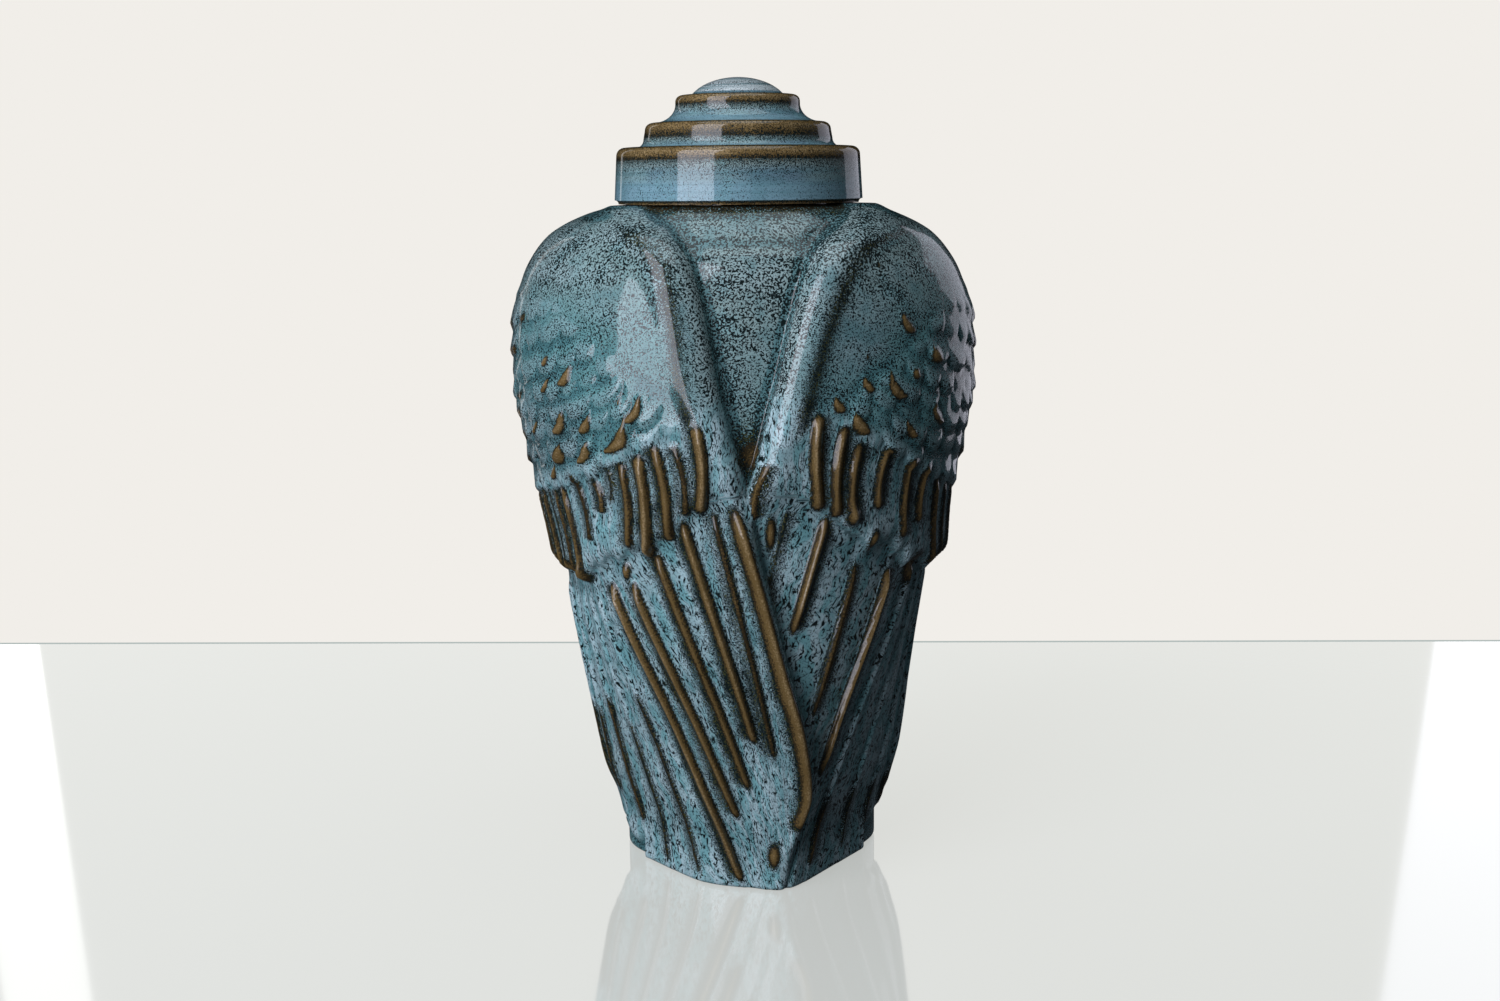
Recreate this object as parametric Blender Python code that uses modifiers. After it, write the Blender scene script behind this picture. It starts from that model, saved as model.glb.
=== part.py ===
"""Lidded ceramic urn: a hollow vessel wrapped in two folded wings, and its loose stepped lid.

Metres, +Z up. The origin is on the vessel's axis at its underside. The opening between the
wings faces -Y, and the wing that laps over the other at the front is the one at -X.
"""

import bmesh
import bpy
import numpy as np

# Vessel
BODY_HEIGHT = 0.2616        # underside to the flat rim that the lid rests on
HALF_WIDTH = 0.0905         # axis to the widest part of a wing
HALF_DEPTH = 0.0795         # axis to the front of a wing at the same height
WALL = 0.0055               # vessel wall under the feathers
FLOOR = 0.0070              # vessel bottom
MOUTH_RADIUS = 0.0360
RIM_WIDTH = 0.0095          # flat ring around the mouth
RIM_ROUND = 0.0018
MOUTH_LAND = 0.0055         # height of the straight mouth
FOOT_ROUND = 0.0018         # rounding of the edge it stands on
FLOOR_ROUND = 0.0080        # hollow where the inside wall meets the bottom
CORNER_SHARPNESS = 18       # higher values give the foot sharper corners

# Wing layers, each standing proud of the one below
CHEST_DEPTH = 0.0035        # bare vessel between the wings, below the long feathers
FOOT_STEP = 0.0030          # long feathers above the bare foot
UPPER_LAYER = 0.0042        # short feathers above the long ones
ROLL_HEIGHT = 0.0014        # rounded leading edge beside the opening
ROLL_WIDTH = 0.0060
EDGE_ROUND = 0.0080         # rounding of that edge where it stands highest
TOP_LIFT = 0.0034           # how much higher the leading edge stands at the rim
LIFT_SPREAD = 26            # width of that rise, in degrees
LAP_RISE = 0.0022           # one wing rises, the other sinks, where they cross
LAP_WIDTH = 0.022           # width of that rise
LAP_SPREAD = 16             # width of that sinking, in degrees
LAP_ANGLE = 2               # where it starts, in degrees from the front
LAST_RIDGE = 0.0030         # edge feather of the wing on top
LAST_WIDTH = 0.0030         # its gentle side
BACK_ROUND = 0.0060
BACK_ANGLE = 177            # degrees from the front to a wing's back edge
SHOULDER_ANGLE = 40         # how much earlier that edge comes at the rim, in degrees
HOLLOW_SOFTNESS = 0.022     # how softly the inside follows the wings

# Shares of height over which a form comes or goes, from none of it to all of it
CHEST_FADE = (0.985, 0.935)
UPPER_FADE = (1.0, 0.93)
ROLL_FADE = (0.995, 0.945)
LIFT_GROWTH = (0.82, 1.0)
LAP_TOP = (0.62, 0.54)
LAP_FOOT = (0.02, 0.12)
SHOULDER_TURN = (0.86, 1.0)
HOLLOW_TOP = (0.96, 0.88)
HOLLOW_STEP = (0.03, 0.12)  # above the lower edge of a layer

# Long feathers
LONG_RIDGE = 0.0034         # raised edge of a long feather
CREST_SHARE = 0.60          # share of that height in the narrow crest, the rest in the slope
RIDGE_WIDTH = 0.0022        # gentle side of a crest, away from the front
RIDGE_FLANK = 0.0010        # steep side of a crest, towards the front
SLOPE_BEND = 1.5            # how hollow the slope beyond the crest is, 1 for a straight one
ROOT_WIDTH = 0.25           # share of its width at its pointed root
NARROWING = 0.35            # how much narrower it is at its foot
FADE_IN = 0.0100            # length over which a crest rises from its root
FADE_OUT = 0.0140           # length over which it sinks at its tip
FAINT = 0.35                # share of the height that runs on past both
TIP_LOBE = 0.0045           # how far a feather's sides stop short of its tip
TIP_ROUND = 0.0060

# Short feathers
SHORT_RIDGE = 0.0023
SHORT_ROUND = 0.0075        # rounding of the row's lower edge
SHORT_SOFT = 0.0160         # the same at the front, where the row melts into the long feathers
SOFT_ANGLE = 12             # where that ends, in degrees from the opening
SOFT_SPREAD = 30            # and over how many degrees
SHORT_LOBE = 0.0030         # how far the layer between two ridges stops short of their tips
SHORT_GAP = 0.0035          # distance from a ridge at which it has done so
SHORT_WAVE = 0.0015         # how far the lower edge wanders
SHORT_WAVELENGTH = 2.3      # of that wandering, in degrees for each radian
SHORT_BOW = 1.6             # how far a ridge bows away from the straight, in degrees
SHORT_POINT = 0.22          # share of its length over which a ridge rises
SHORT_END_ROUND = 0.0030    # rounding of its lower end
FAINT_WIDTH = 0.55          # share of its width that the faintest ridge keeps
FLARE_ANGLE = 85            # where the row stands out most, in degrees from the opening
FLARE_SPREAD = 32
BEAD_HEIGHT = 0.0016        # drop-shaped end of a short feather
BEAD_LENGTH = 0.0030
BEAD_WIDTH = 0.0026

# Scales
SCALE_RIDGE = 0.0026
SCALE_WIDTH = 0.0115
SCALE_ROW = 0.0092
SCALE_ROWS = 9
SCALE_REACH = 1.35          # length of a scale's slope, in rows
SCALE_CROWN = 0.4           # how much lower its sides are than its middle
SCALE_VARIETY = 0.25        # how much lower the lowest scales are than the average one
SCALE_LAP = 0.0030          # how far the lowest row hangs over the short feathers
SCALE_ROUND = 0.0036
SCALE_POINT = 0.96          # roundness of a scale's tip, 1 for a half circle
SCALE_JITTER = 0.0024
SCALE_WANDER = 0.30         # how far a row wanders sideways, in scales
SCALE_WAVE = 9              # of that wandering, in degrees for each radian
SCALE_START = 12            # where the scales start and over how much they grow, in degrees
SCALE_FADE = 0.0400         # height over which the scales grow from nothing
SCALE_FAINT = 0.30          # share of their height that the highest ones keep

# Steps, in radians, that make each feather or scale differ from its neighbours
STRENGTH_STEP = 2.4
STRENGTH_VARIETY = 0.2
BEAD_STEP = 2.7
TIP_STEPS = (12.9, 5.3)     # from one scale to the next, and from one row to the next
BULGE_STEPS = (7.7, 4.1)
ROW_STEP = 1.7

# Lid
GAP = 0.0003                # lid above the rim
LID_OVERHANG = 0.0030       # drum beyond the rim
LID_WALL = 0.0050
SEAT_THICKNESS = 0.0050     # ring that rests on the rim
FLANGE_DEPTH = 0.0080       # locating ring that reaches into the mouth
FLANGE_WALL = 0.0040
FLANGE_CLEARANCE = 0.0010
DRUM_HEIGHT = 0.0215
DRUM_TAPER = 0.0010         # drum narrower at its top
DRUM_ROUND = 0.0032
COVE = 0.0031               # hollow curve where the middle step meets the drum
TIER_HEIGHT = 0.0093        # middle step above the drum
TIER_RADIUS = 0.0368
TIER_TAPER = 0.0006
TIER_ROUND = 0.0029
CROWN_HEIGHT = 0.0104       # small step above the middle one
CROWN_RADIUS = 0.0242
CROWN_WALL = 0.0043         # its height before it sweeps out to the middle step
CROWN_ROUND = 0.0025
DOME_RADIUS = 0.0175
DOME_RISE = 0.0068
DOME_LIP = 0.0006
LID_FOOT_ROUND = 0.0015

# Glaze
VESSEL_COLOUR = (.16, .30, .36)
VESSEL_ROUGHNESS = 0.18
LID_COLOUR = (.20, .34, .40)
LID_ROUGHNESS = 0.15

# Fineness
COLUMNS = 300
ROWS = 190
INNER_COLUMNS = 36
INNER_ROWS = 17
LID_STEPS = 32
OUTER_DETAIL = 0.0530       # share of the fine carving's triangles that is kept
CUT_MARGIN = 0.004          # how far the cutters reach past what they cut

RIM_RADIUS = MOUTH_RADIUS + RIM_WIDTH
LID_RADIUS = RIM_RADIUS + LID_OVERHANG
LID_SEAT = BODY_HEIGHT + GAP

# The foot is a rounded square turned by 45 degrees, with its front corner cut off by the
# crossing wing tips: (direction in degrees from the front, distance of the side).
FOOT_SIDES = ((-10.3, 0.0545), (-49, 0.0467), (53.2, 0.0492), (-90, 0.0520), (90, 0.0580),
              (-133, 0.0465), (133, 0.0485), (180, 0.0520))
FOOT_BLEND = (0.05, 0.45)   # the square form ends, the oval form begins, in shares of height

# Half sizes of the form under the wings: (share of height, share of the half size) up to the
# widest part, and above it the share that is left of the way in to the rim.
SIDE_LOW = ((0, .650), (.054, .650), (.161, .718), (.375, .800), (.489, .850), (.604, .925), (.73, .996))
SIDE_HIGH = ((.775, 1), (.845, .98), (.898, .885), (.937, .74), (.970, .52), (.988, .31), (1, 0))
FRONT_LOW = ((0, .70), (.054, .72), (.19, .82), (.38, .93), (.57, .975), (.72, 1))
FRONT_HIGH = ((.79, .99), (.84, .945), (.898, .83), (.929, .70), (.944, .60), (.963, .43),
              (.985, .16), (1, 0))
LEAN = ((0, .0025), (.15, .0015), (.30, .0008), (.65, .0015), (.80, .0012), (.95, .0005), (1, 0))

# Short feathers and scales: (degrees from the opening, share of height).
SHORT_TOP = ((0, .73), (12, .712), (28, .668), (42, .628), (55, .608), (90, .585), (176, .58))
SHORT_END = ((0, .60), (10, .588), (20, .545), (27, .522), (40, .50), (54, .462), (80, .468),
             (92, .448), (176, .46))
SCALE_TOP = ((0, .70), (12, .715), (20, .75), (27, .775), (45, .83), (60, .86), (90, .87), (176, .88))

# Each wing has these entries.
# side: -1 or 1, the way its angles run.
# edge: its edge along the opening, as (share of height, degrees).
# crest: distance from that edge to the crest of its roll, by share of height.
# short_ridges: the ridges of the short feathers that the front shows, each with its top and its
#   tip as share of height and degrees, its strength, and the strength of the bead on its tip.
# short_pitch: degrees between the ridges that follow them, on round to the back.
# flare: how far the row of short feathers stands out at the side.
# offset: how far the row and the scales are turned towards the back, in degrees.
# feathers: number of long feathers, which fan out between two angles by feather number, one at
#   root_height and one at the ground.
# end_height: where the crest of each one ends.
# strength: height of its ridge, in shares of the full height, for the first ones.
# tips: lower edge of the fan, as (degrees, share of height).
LEFT_WING = {
    "side": -1,
    "edge": ((0, -15), (.103, -22), (.149, -24.5), (.236, -21.5), (.350, -14.5), (.498, -6.8),
             (.612, -1.9), (.737, 4.6), (.857, 9.7), (.919, 14.2), (.965, 23.3), (.996, 41.9), (1, 46)),
    "crest": ((0, .0034), (.45, .0036), (.64, .0062), (.82, .0090), (1, .0060)),
    "short_ridges": (
        (.712, 11.4, .584, 10.7, 1.25, 0), (.684, 18.0, .578, 15.2, .5, 0),
        (.684, 23.3, .543, 20.3, .85, 0), (.670, 27.8, .514, 27.2, 1.25, 1),
        (.658, 33.3, .526, 33.0, .75, 0), (.650, 38.5, .590, 37.5, .35, 0),
        (.625, 43.2, .575, 40.8, .6, 0), (.632, 50.5, .529, 47.0, .5, 0),
        (.610, 57.0, .460, 54.1, .75, 1),
    ),
    "short_pitch": 4.8,
    "flare": 0.0,
    "offset": 0.0,
    "feathers": 21,
    "root_angle": ((0, 7.2), (4, 41.7), (5, 51), (6, 56), (7, 61), (8, 68), (12, 100), (21, 184)),
    "ground_angle": ((0, -20), (1, -18), (4, .5), (5, 19), (6, 40), (7, 59), (8, 76), (12, 104), (21, 184)),
    "root_height": ((0, .571), (1, .558), (2, .505), (3, .456), (4, .45), (6, .42), (21, .42)),
    "end_height": ((0, .218), (1, .245), (2, .17), (3, .122), (4, .018), (6, .02), (7, .066),
                   (8, .10), (21, .10)),
    "strength": (.5, 1, .8, 1, 1.1, .40, .35, .50, .45, .5, .5),
    "tips": ((-25, -.10), (40, -.05), (60, .02), (80, .054), (95, .12), (105, .19), (130, .29),
             (165, .35), (180, .36)),
}
RIGHT_WING = {
    "side": 1,
    "edge": ((0, -25), (.50, -14), (.615, 1.4), (.734, 8.4), (.877, 16.9), (.946, 25.5), (.984, 42.8),
             (1, 54)),
    "crest": ((0, .0080), (1, .0080)),
    "short_ridges": (
        (.658, 7.6, .572, 3.2, .7, 0), (.726, 20.1, .584, 20.9, 1.45, 0),
        (.708, 27.4, .575, 25.9, 1.0, 0), (.682, 31.7, .560, 31.0, .8, 1),
        (.670, 40.5, .578, 38.4, .8, 0), (.652, 48.7, .530, 49.0, .8, 0),
        (.634, 55.8, .546, 54.9, .9, 0), (.615, 62.2, .473, 67.5, .8, 0),
    ),
    "short_pitch": 7.2,
    "flare": 0.0042,
    "offset": 9.0,
    "feathers": 17,
    "root_angle": ((0, 12.5), (1, 23.3), (2, 34), (3, 47.4), (4, 60), (5, 68), (8, 92), (17, 186)),
    "ground_angle": ((0, -15), (1, -6.4), (2, 9.2), (3, 17.5), (4, 25), (5, 50), (6, 70), (8, 92), (17, 186)),
    "root_height": ((0, .57), (1, .558), (2, .484), (3, .465), (17, .42)),
    "end_height": ((0, .45), (1, .409), (2, .276), (3, .18), (4, .03), (17, .10)),
    "strength": (.3, 1, .55, 1, .55, .35, .35),
    "tips": ((-25, -.10), (45, -.05), (60, .02), (80, .05), (100, .055), (112, .12), (130, .24),
             (165, .34), (180, .36)),
}
OTHER_STRENGTH = 0.5


def curve(x, keys):
    """Value at x of the smooth curve through (place, value) keys that never overshoots them."""
    places = np.array([key[0] for key in keys], float)
    values = np.array([key[1] for key in keys], float)
    gaps = np.diff(places)
    slopes = np.diff(values) / gaps
    tangents = np.zeros_like(values)
    same_way = slopes[:-1] * slopes[1:] > 0
    total = np.where(same_way, slopes[:-1] + slopes[1:], 1)
    tangents[1:-1] = np.where(same_way, 2 * slopes[:-1] * slopes[1:] / total, 0)
    tangents[0] = slopes[0]
    tangents[-1] = slopes[-1]
    x = np.clip(x, places[0], places[-1])
    i = np.clip(np.searchsorted(places, x) - 1, 0, len(places) - 2)
    t = (x - places[i]) / gaps[i]
    ends = (2 * t**3 - 3 * t**2 + 1) * values[i] + (3 * t**2 - 2 * t**3) * values[i + 1]
    bends = (t**3 - 2 * t**2 + t) * tangents[i] + (t**3 - t**2) * tangents[i + 1]
    return ends + bends * gaps[i]


def smooth(t):
    """Soft step from 0 to 1."""
    t = np.clip(t, 0, 1)
    return t * t * (3 - 2 * t)


def ramp(value, span):
    """Soft step from 0 at the start of a span to 1 at its end, whichever is the higher."""
    return smooth((value - span[0]) / (span[1] - span[0]))


def rounded(t):
    """Quarter-round step from 0 to 1, steep at its foot."""
    t = np.clip(t, 0, 1)
    return np.sqrt(1 - (1 - t) ** 2)


def bump(distance, width):
    """Rounded ridge, 1 at its crest."""
    return np.exp(-((distance / width) ** 2))


def plain_radius(angle, share):
    """Radius of the form that the wings lie on, at an angle in degrees and a share of height."""
    theta = np.radians(angle)
    side = HALF_WIDTH - UPPER_LAYER
    front = HALF_DEPTH - UPPER_LAYER
    side_keys = [(place, side * value) for place, value in SIDE_LOW]
    side_keys += [(place, RIM_RADIUS + (side - RIM_RADIUS) * value) for place, value in SIDE_HIGH]
    front_keys = [(place, front * value) for place, value in FRONT_LOW]
    front_keys += [(place, RIM_RADIUS + (front - RIM_RADIUS) * value) for place, value in FRONT_HIGH]
    half_width = curve(share, side_keys)
    half_depth = curve(share, front_keys)
    oval = ((np.sin(theta) / half_width) ** 2 + (np.cos(theta) / half_depth) ** 2) ** -0.5
    oval = oval + curve(share, LEAN) * np.sin(theta)
    reach = np.zeros_like(oval)
    for azimuth, distance in FOOT_SIDES:
        facing = np.maximum(np.cos(theta - np.radians(azimuth)), 0)
        reach = reach + (facing / distance) ** CORNER_SHARPNESS
    foot = reach ** (-1 / CORNER_SHARPNESS) * half_width / side_keys[0][1]
    square = 1 - ramp(share, FOOT_BLEND)
    return square * foot + (1 - square) * oval


def long_feathers(wing, out, share, arc):
    """Relief of the fan of long feathers, and how far inside their tips each point lies."""
    height = share * BODY_HEIGHT
    count = wing["feathers"]
    edges = []
    for number in range(count + 1):
        root = curve(number, wing["root_angle"])
        ground = curve(number, wing["ground_angle"])
        edges.append(ground + (root - ground) * share / curve(number, wing["root_height"]))
    relief = np.zeros_like(out)
    inside_tip = height + FOOT_STEP
    for number in range(count):
        strength = wing["strength"][number] if number < len(wing["strength"]) else OTHER_STRENGTH
        across = (out - edges[number]) * arc
        pitch = np.maximum((edges[number + 1] - edges[number]) * arc, RIDGE_FLANK)
        place = np.clip(across / pitch, 0, 1)
        tip = curve(curve(number, wing["ground_angle"]), wing["tips"]) * BODY_HEIGHT
        end = np.maximum(curve(number, wing["end_height"]) * BODY_HEIGHT, tip)
        root = curve(number, wing["root_height"]) * BODY_HEIGHT
        lower_end = smooth((height - end) / FADE_OUT + FAINT)
        upper_end = smooth((root - height) / FADE_IN + 1 - FAINT)
        present = FAINT + (1 - FAINT) * lower_end * upper_end
        down = np.clip((root - height) / (root - end), 0, 1)
        narrow = (1 - NARROWING * down) * (ROOT_WIDTH + (1 - ROOT_WIDTH) * upper_end)
        fall = np.where(across >= 0, (1 - place) ** SLOPE_BEND, bump(across, RIDGE_FLANK))
        slope = (1 - CREST_SHARE) * fall
        crest = CREST_SHARE * bump(across, np.where(across >= 0, RIDGE_WIDTH * narrow, RIDGE_FLANK))
        relief += LONG_RIDGE * strength * (slope * present + crest * lower_end * upper_end)
        on_feather = (across >= 0) & (out < edges[number + 1])
        lobe = TIP_LOBE * (2 * place - 1) ** 2
        inside_tip = np.where(on_feather, height - tip - lobe, inside_tip)
    return relief, inside_tip


def short_ridges(wing):
    """Ridges of the short feathers on round to the back, each as in the wing's own list."""
    ridges = list(wing["short_ridges"])
    lean = ridges[-1][1] - ridges[-1][3]
    angle = ridges[-1][3] + wing["short_pitch"]
    while angle < BACK_ANGLE:
        number = len(ridges)
        top = float(curve(angle + lean - wing["offset"], SHORT_TOP))
        tip = float(curve(angle - wing["offset"], SHORT_END))
        strength = OTHER_STRENGTH + STRENGTH_VARIETY * np.sin(STRENGTH_STEP * number)
        ridges.append((top, angle + lean, tip, angle, strength, max(np.sin(BEAD_STEP * number), 0)))
        angle += wing["short_pitch"]
    return ridges


def short_feathers(wing, out, share, arc):
    """The row of short feathers: share that its layer covers, height of the layer, its ridges."""
    height = share * BODY_HEIGHT
    own = out - wing["offset"]
    ridge = np.zeros_like(out)
    nearest = np.full_like(out, SHORT_GAP)
    for top, top_angle, tip, tip_angle, strength, bead in short_ridges(wing):
        length = (top - tip) * BODY_HEIGHT
        down = (top - share) / (top - tip)
        bow = SHORT_BOW * np.clip(4 * down * (1 - down), 0, 1)
        across = (out - top_angle - (tip_angle - top_angle) * down + bow) * arc
        lower_end = smooth((1 - down) * length / SHORT_END_ROUND + FAINT)
        taper = smooth(down / SHORT_POINT) * lower_end
        width = RIDGE_WIDTH * (FAINT_WIDTH + (1 - FAINT_WIDTH) * strength)
        crest = SHORT_RIDGE * strength * taper * bump(across, np.where(across > 0, width, RIDGE_FLANK))
        from_tip = height - tip * BODY_HEIGHT - BEAD_LENGTH
        drop = bead * bump((out - tip_angle) * arc, BEAD_WIDTH) * bump(from_tip, BEAD_LENGTH)
        ridge = np.maximum(ridge, crest + BEAD_HEIGHT * drop)
        nearest = np.minimum(nearest, np.abs(across))
    sides = smooth((own - SOFT_ANGLE) / SOFT_SPREAD)
    end = curve(own, SHORT_END) * BODY_HEIGHT + SHORT_WAVE * sides * np.sin(out / SHORT_WAVELENGTH)
    above = height - end - SHORT_LOBE * sides * smooth(nearest / SHORT_GAP)
    layer = smooth(above / SHORT_SOFT + FAINT) * (1 - sides) + rounded(above / SHORT_ROUND) * sides
    top = curve(own, SHORT_TOP) * BODY_HEIGHT
    flare = wing["flare"] * bump(own - FLARE_ANGLE, FLARE_SPREAD) * smooth((top - height) / (top - end))
    return layer, UPPER_LAYER * ramp(share, UPPER_FADE) + flare, ridge


def scales(wing, out, share):
    """Relief of the overlapping scales on the outer side of a wing."""
    height = share * BODY_HEIGHT
    own = out - wing["offset"]
    low = curve(own, SHORT_TOP) * BODY_HEIGHT - SCALE_LAP
    high = curve(own, SCALE_TOP) * BODY_HEIGHT
    relief = np.zeros_like(out)
    for row in range(SCALE_ROWS):
        drift = .5 * (row % 2) + SCALE_WANDER * np.sin(out / SCALE_WAVE + ROW_STEP * row)
        column = np.radians(out) * HALF_WIDTH / SCALE_WIDTH + drift
        number = np.floor(column)
        side = 2 * (column - number) - 1
        tip = low + row * SCALE_ROW + SCALE_JITTER * np.sin(TIP_STEPS[0] * number + TIP_STEPS[1] * row)
        above = height - tip - .5 * SCALE_ROW * (1 - np.sqrt(1 - SCALE_POINT * side**2))
        bulge = 1 - SCALE_VARIETY + SCALE_VARIETY * np.sin(BULGE_STEPS[0] * number + BULGE_STEPS[1] * row)
        fall = np.clip(1 - above / (SCALE_REACH * SCALE_ROW), 0, 1)
        scale = bulge * rounded(above / SCALE_ROUND) * fall * (1 - SCALE_CROWN * side**2)
        relief = np.maximum(relief, scale)
    below_top = high - height
    grow = smooth((own - SCALE_START) / SCALE_START) * smooth(below_top / SCALE_ROW)
    return SCALE_RIDGE * relief * grow * (SCALE_FAINT + (1 - SCALE_FAINT) * smooth(below_top / SCALE_FADE))


def outward(wing, angle):
    """Degrees from the front towards a wing's own side, on round to past the back."""
    out = wing["side"] * angle
    return np.where(out < -60, out + 360, out)


def edge_distance(wing, out, share, arc):
    """Distance from a wing's edge along the surface, positive on the wing."""
    step = .002
    turn = curve(share + step, wing["edge"]) - curve(share - step, wing["edge"])
    rise = turn / (2 * step * BODY_HEIGHT)
    return (out - curve(share, wing["edge"])) * arc / np.sqrt(1 + (rise * arc) ** 2)


def crossing_rise(wing, out, from_edge, share):
    """Rise of the wing on top, and sinking of the one below, where they cross at the front."""
    crossing = ramp(share, LAP_TOP) * ramp(share, LAP_FOOT)
    if wing is RIGHT_WING:
        return -crossing * LAP_RISE * bump(np.maximum(out - LAP_ANGLE, 0), LAP_SPREAD)
    across = from_edge - curve(share, wing["crest"])
    last_ridge = bump(across, np.where(across > 0, LAST_WIDTH, RIDGE_WIDTH))
    return crossing * (LAP_RISE * bump(np.maximum(from_edge, 0), LAP_WIDTH) + LAST_RIDGE * last_ridge)


def lay_wing(wing, surface, base, angle, share):
    """Surface radius with a wing laid over what is there."""
    out = outward(wing, angle)
    arc = np.radians(base)
    from_edge = edge_distance(wing, out, share, arc)
    relief, inside_tip = long_feathers(wing, out, share, arc)
    feather = rounded(inside_tip / TIP_ROUND)
    relief = relief * feather - FOOT_STEP * (1 - feather)
    layer, cover, ridge = short_feathers(wing, out, share, arc)
    relief = relief * (1 - layer) + layer * cover + ridge + scales(wing, out, share)
    crest = curve(share, wing["crest"])
    relief += ROLL_HEIGHT * bump(from_edge - crest, ROLL_WIDTH) * ramp(share, ROLL_FADE)
    relief += crossing_rise(wing, out, from_edge, share)
    near_edge = bump(out - curve(share, wing["edge"]), LIFT_SPREAD)
    lift = TOP_LIFT * near_edge * ramp(share, LIFT_GROWTH)
    raised = plain_radius(angle, share - lift / BODY_HEIGHT) + relief
    from_back = (BACK_ANGLE - out - SHOULDER_ANGLE * ramp(share, SHOULDER_TURN)) * arc
    present = rounded(from_edge / np.minimum(crest, EDGE_ROUND)) * rounded(from_back / BACK_ROUND)
    return surface + (raised - surface) * present


def outer_radius(angle, height):
    """Radius of the finished vessel at angles in degrees from the front, and at heights."""
    angle = (angle + 180) % 360 - 180
    share = np.clip(height / BODY_HEIGHT, 0, 1)
    base = plain_radius(angle, share)
    surface = base - CHEST_DEPTH * ramp(share, CHEST_FADE)
    for wing in (RIGHT_WING, LEFT_WING):
        surface = lay_wing(wing, surface, base, angle, share)
    foot = np.clip(1 - height / FOOT_ROUND, 0, 1)
    surface = surface - FOOT_ROUND * (1 - np.sqrt(1 - foot**2))
    rim = np.clip(1 - (BODY_HEIGHT - height) / RIM_ROUND, 0, 1)
    return surface - RIM_ROUND * (1 - np.sqrt(1 - rim**2))


def followed(wing, angle, share, base):
    """How far the hollow behind a wing moves out with it, more softly than the outside."""
    out = outward(wing, angle)
    arc = np.radians(base)
    from_edge = edge_distance(wing, out, share, arc)
    if wing is RIGHT_WING:
        from_lap = -edge_distance(LEFT_WING, outward(LEFT_WING, angle), share, arc)
        from_edge = np.where(out < 60, np.minimum(from_edge, from_lap), from_edge)
    from_back = (BACK_ANGLE - out) * arc
    above_tips = ramp(share - curve(out, wing["tips"]), HOLLOW_STEP)
    beside = smooth(from_edge / HOLLOW_SOFTNESS) * smooth(from_back / HOLLOW_SOFTNESS)
    short_end = curve(out - wing["offset"], SHORT_END)
    upper = ramp(share - short_end, HOLLOW_STEP) * ramp(share, HOLLOW_TOP)
    return beside * (above_tips * max(FOOT_STEP, CHEST_DEPTH) + upper * UPPER_LAYER)


def inner_radius(angle, height):
    """Radius of the hollow: the outside form less the wall, closing in to the mouth at the top."""
    angle = (angle + 180) % 360 - 180
    share = np.clip(height / BODY_HEIGHT, 0, 1)
    share_above = np.clip((height + WALL) / BODY_HEIGHT, 0, 1)
    form = np.minimum(plain_radius(angle, share), plain_radius(angle, share_above))
    wings = np.maximum(followed(LEFT_WING, angle, share, form), followed(RIGHT_WING, angle, share, form))
    sink = np.minimum(crossing_rise(RIGHT_WING, outward(RIGHT_WING, angle), 0, share), 0)
    hollow = form - max(FOOT_STEP, CHEST_DEPTH) + wings + sink - WALL
    corner = np.clip(1 - (height - FLOOR) / FLOOR_ROUND, 0, 1)
    hollow = hollow - FLOOR_ROUND * (1 - np.sqrt(1 - corner**2))
    closing = 1 - smooth((BODY_HEIGHT - MOUTH_LAND - height) / MOUTH_LAND)
    return hollow + (MOUTH_RADIUS - hollow) * closing


def rolled_skin(name, columns, heights, radius_at):
    """Closed skin around the axis: a flat grid rolled into a tube, with its two ends filled."""
    skin = bmesh.new()
    bmesh.ops.create_grid(skin, x_segments=columns, y_segments=len(heights) - 1, size=1)
    across = np.array([vertex.co.x for vertex in skin.verts])
    along = np.array([vertex.co.y for vertex in skin.verts])
    angle = (across + 1) * 180
    height = heights[np.rint((along + 1) / 2 * (len(heights) - 1)).astype(int)]
    radius = radius_at(angle, height)
    theta = np.radians(angle)
    places = np.stack([radius * np.sin(theta), -radius * np.cos(theta), height], axis=1)
    for vertex, place in zip(skin.verts, places):
        vertex.co = place
    bmesh.ops.remove_doubles(skin, verts=skin.verts, dist=1e-7)
    open_edges = [edge for edge in skin.edges if edge.is_boundary]
    bmesh.ops.holes_fill(skin, edges=open_edges, sides=0)
    bmesh.ops.recalc_face_normals(skin, faces=skin.faces)
    mesh = bpy.data.meshes.new(name)
    skin.to_mesh(mesh)
    skin.free()
    mesh.shade_smooth()
    return bpy.data.objects.new(name, mesh)


def rows(count, low, high):
    """Heights from low to high, closer together towards the top, where the form turns in."""
    t = np.linspace(0, 1, count + 1)
    return low + (high - low) * (t + np.sin(t * np.pi / 2)) / 2


def block(name, low, high):
    """Plain block wider than the vessel, between two heights."""
    cube = bmesh.new()
    bmesh.ops.create_cube(cube, size=1)
    side = 4 * HALF_WIDTH
    for vertex in cube.verts:
        vertex.co = (vertex.co.x * side, vertex.co.y * side, low + (vertex.co.z + .5) * (high - low))
    mesh = bpy.data.meshes.new(name)
    cube.to_mesh(mesh)
    cube.free()
    return bpy.data.objects.new(name, mesh)


def quarter(start, end, bulging, count=3):
    """Quarter of an ellipse between two (radius, height) points, without its first point."""
    points = []
    for step in range(1, count + 1):
        turn = step / count * np.pi / 2
        ahead, behind = (np.sin(turn), 1 - np.cos(turn)) if bulging else (1 - np.cos(turn), np.sin(turn))
        points.append((start[0] + (end[0] - start[0]) * ahead, start[1] + (end[1] - start[1]) * behind))
    return points


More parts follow.
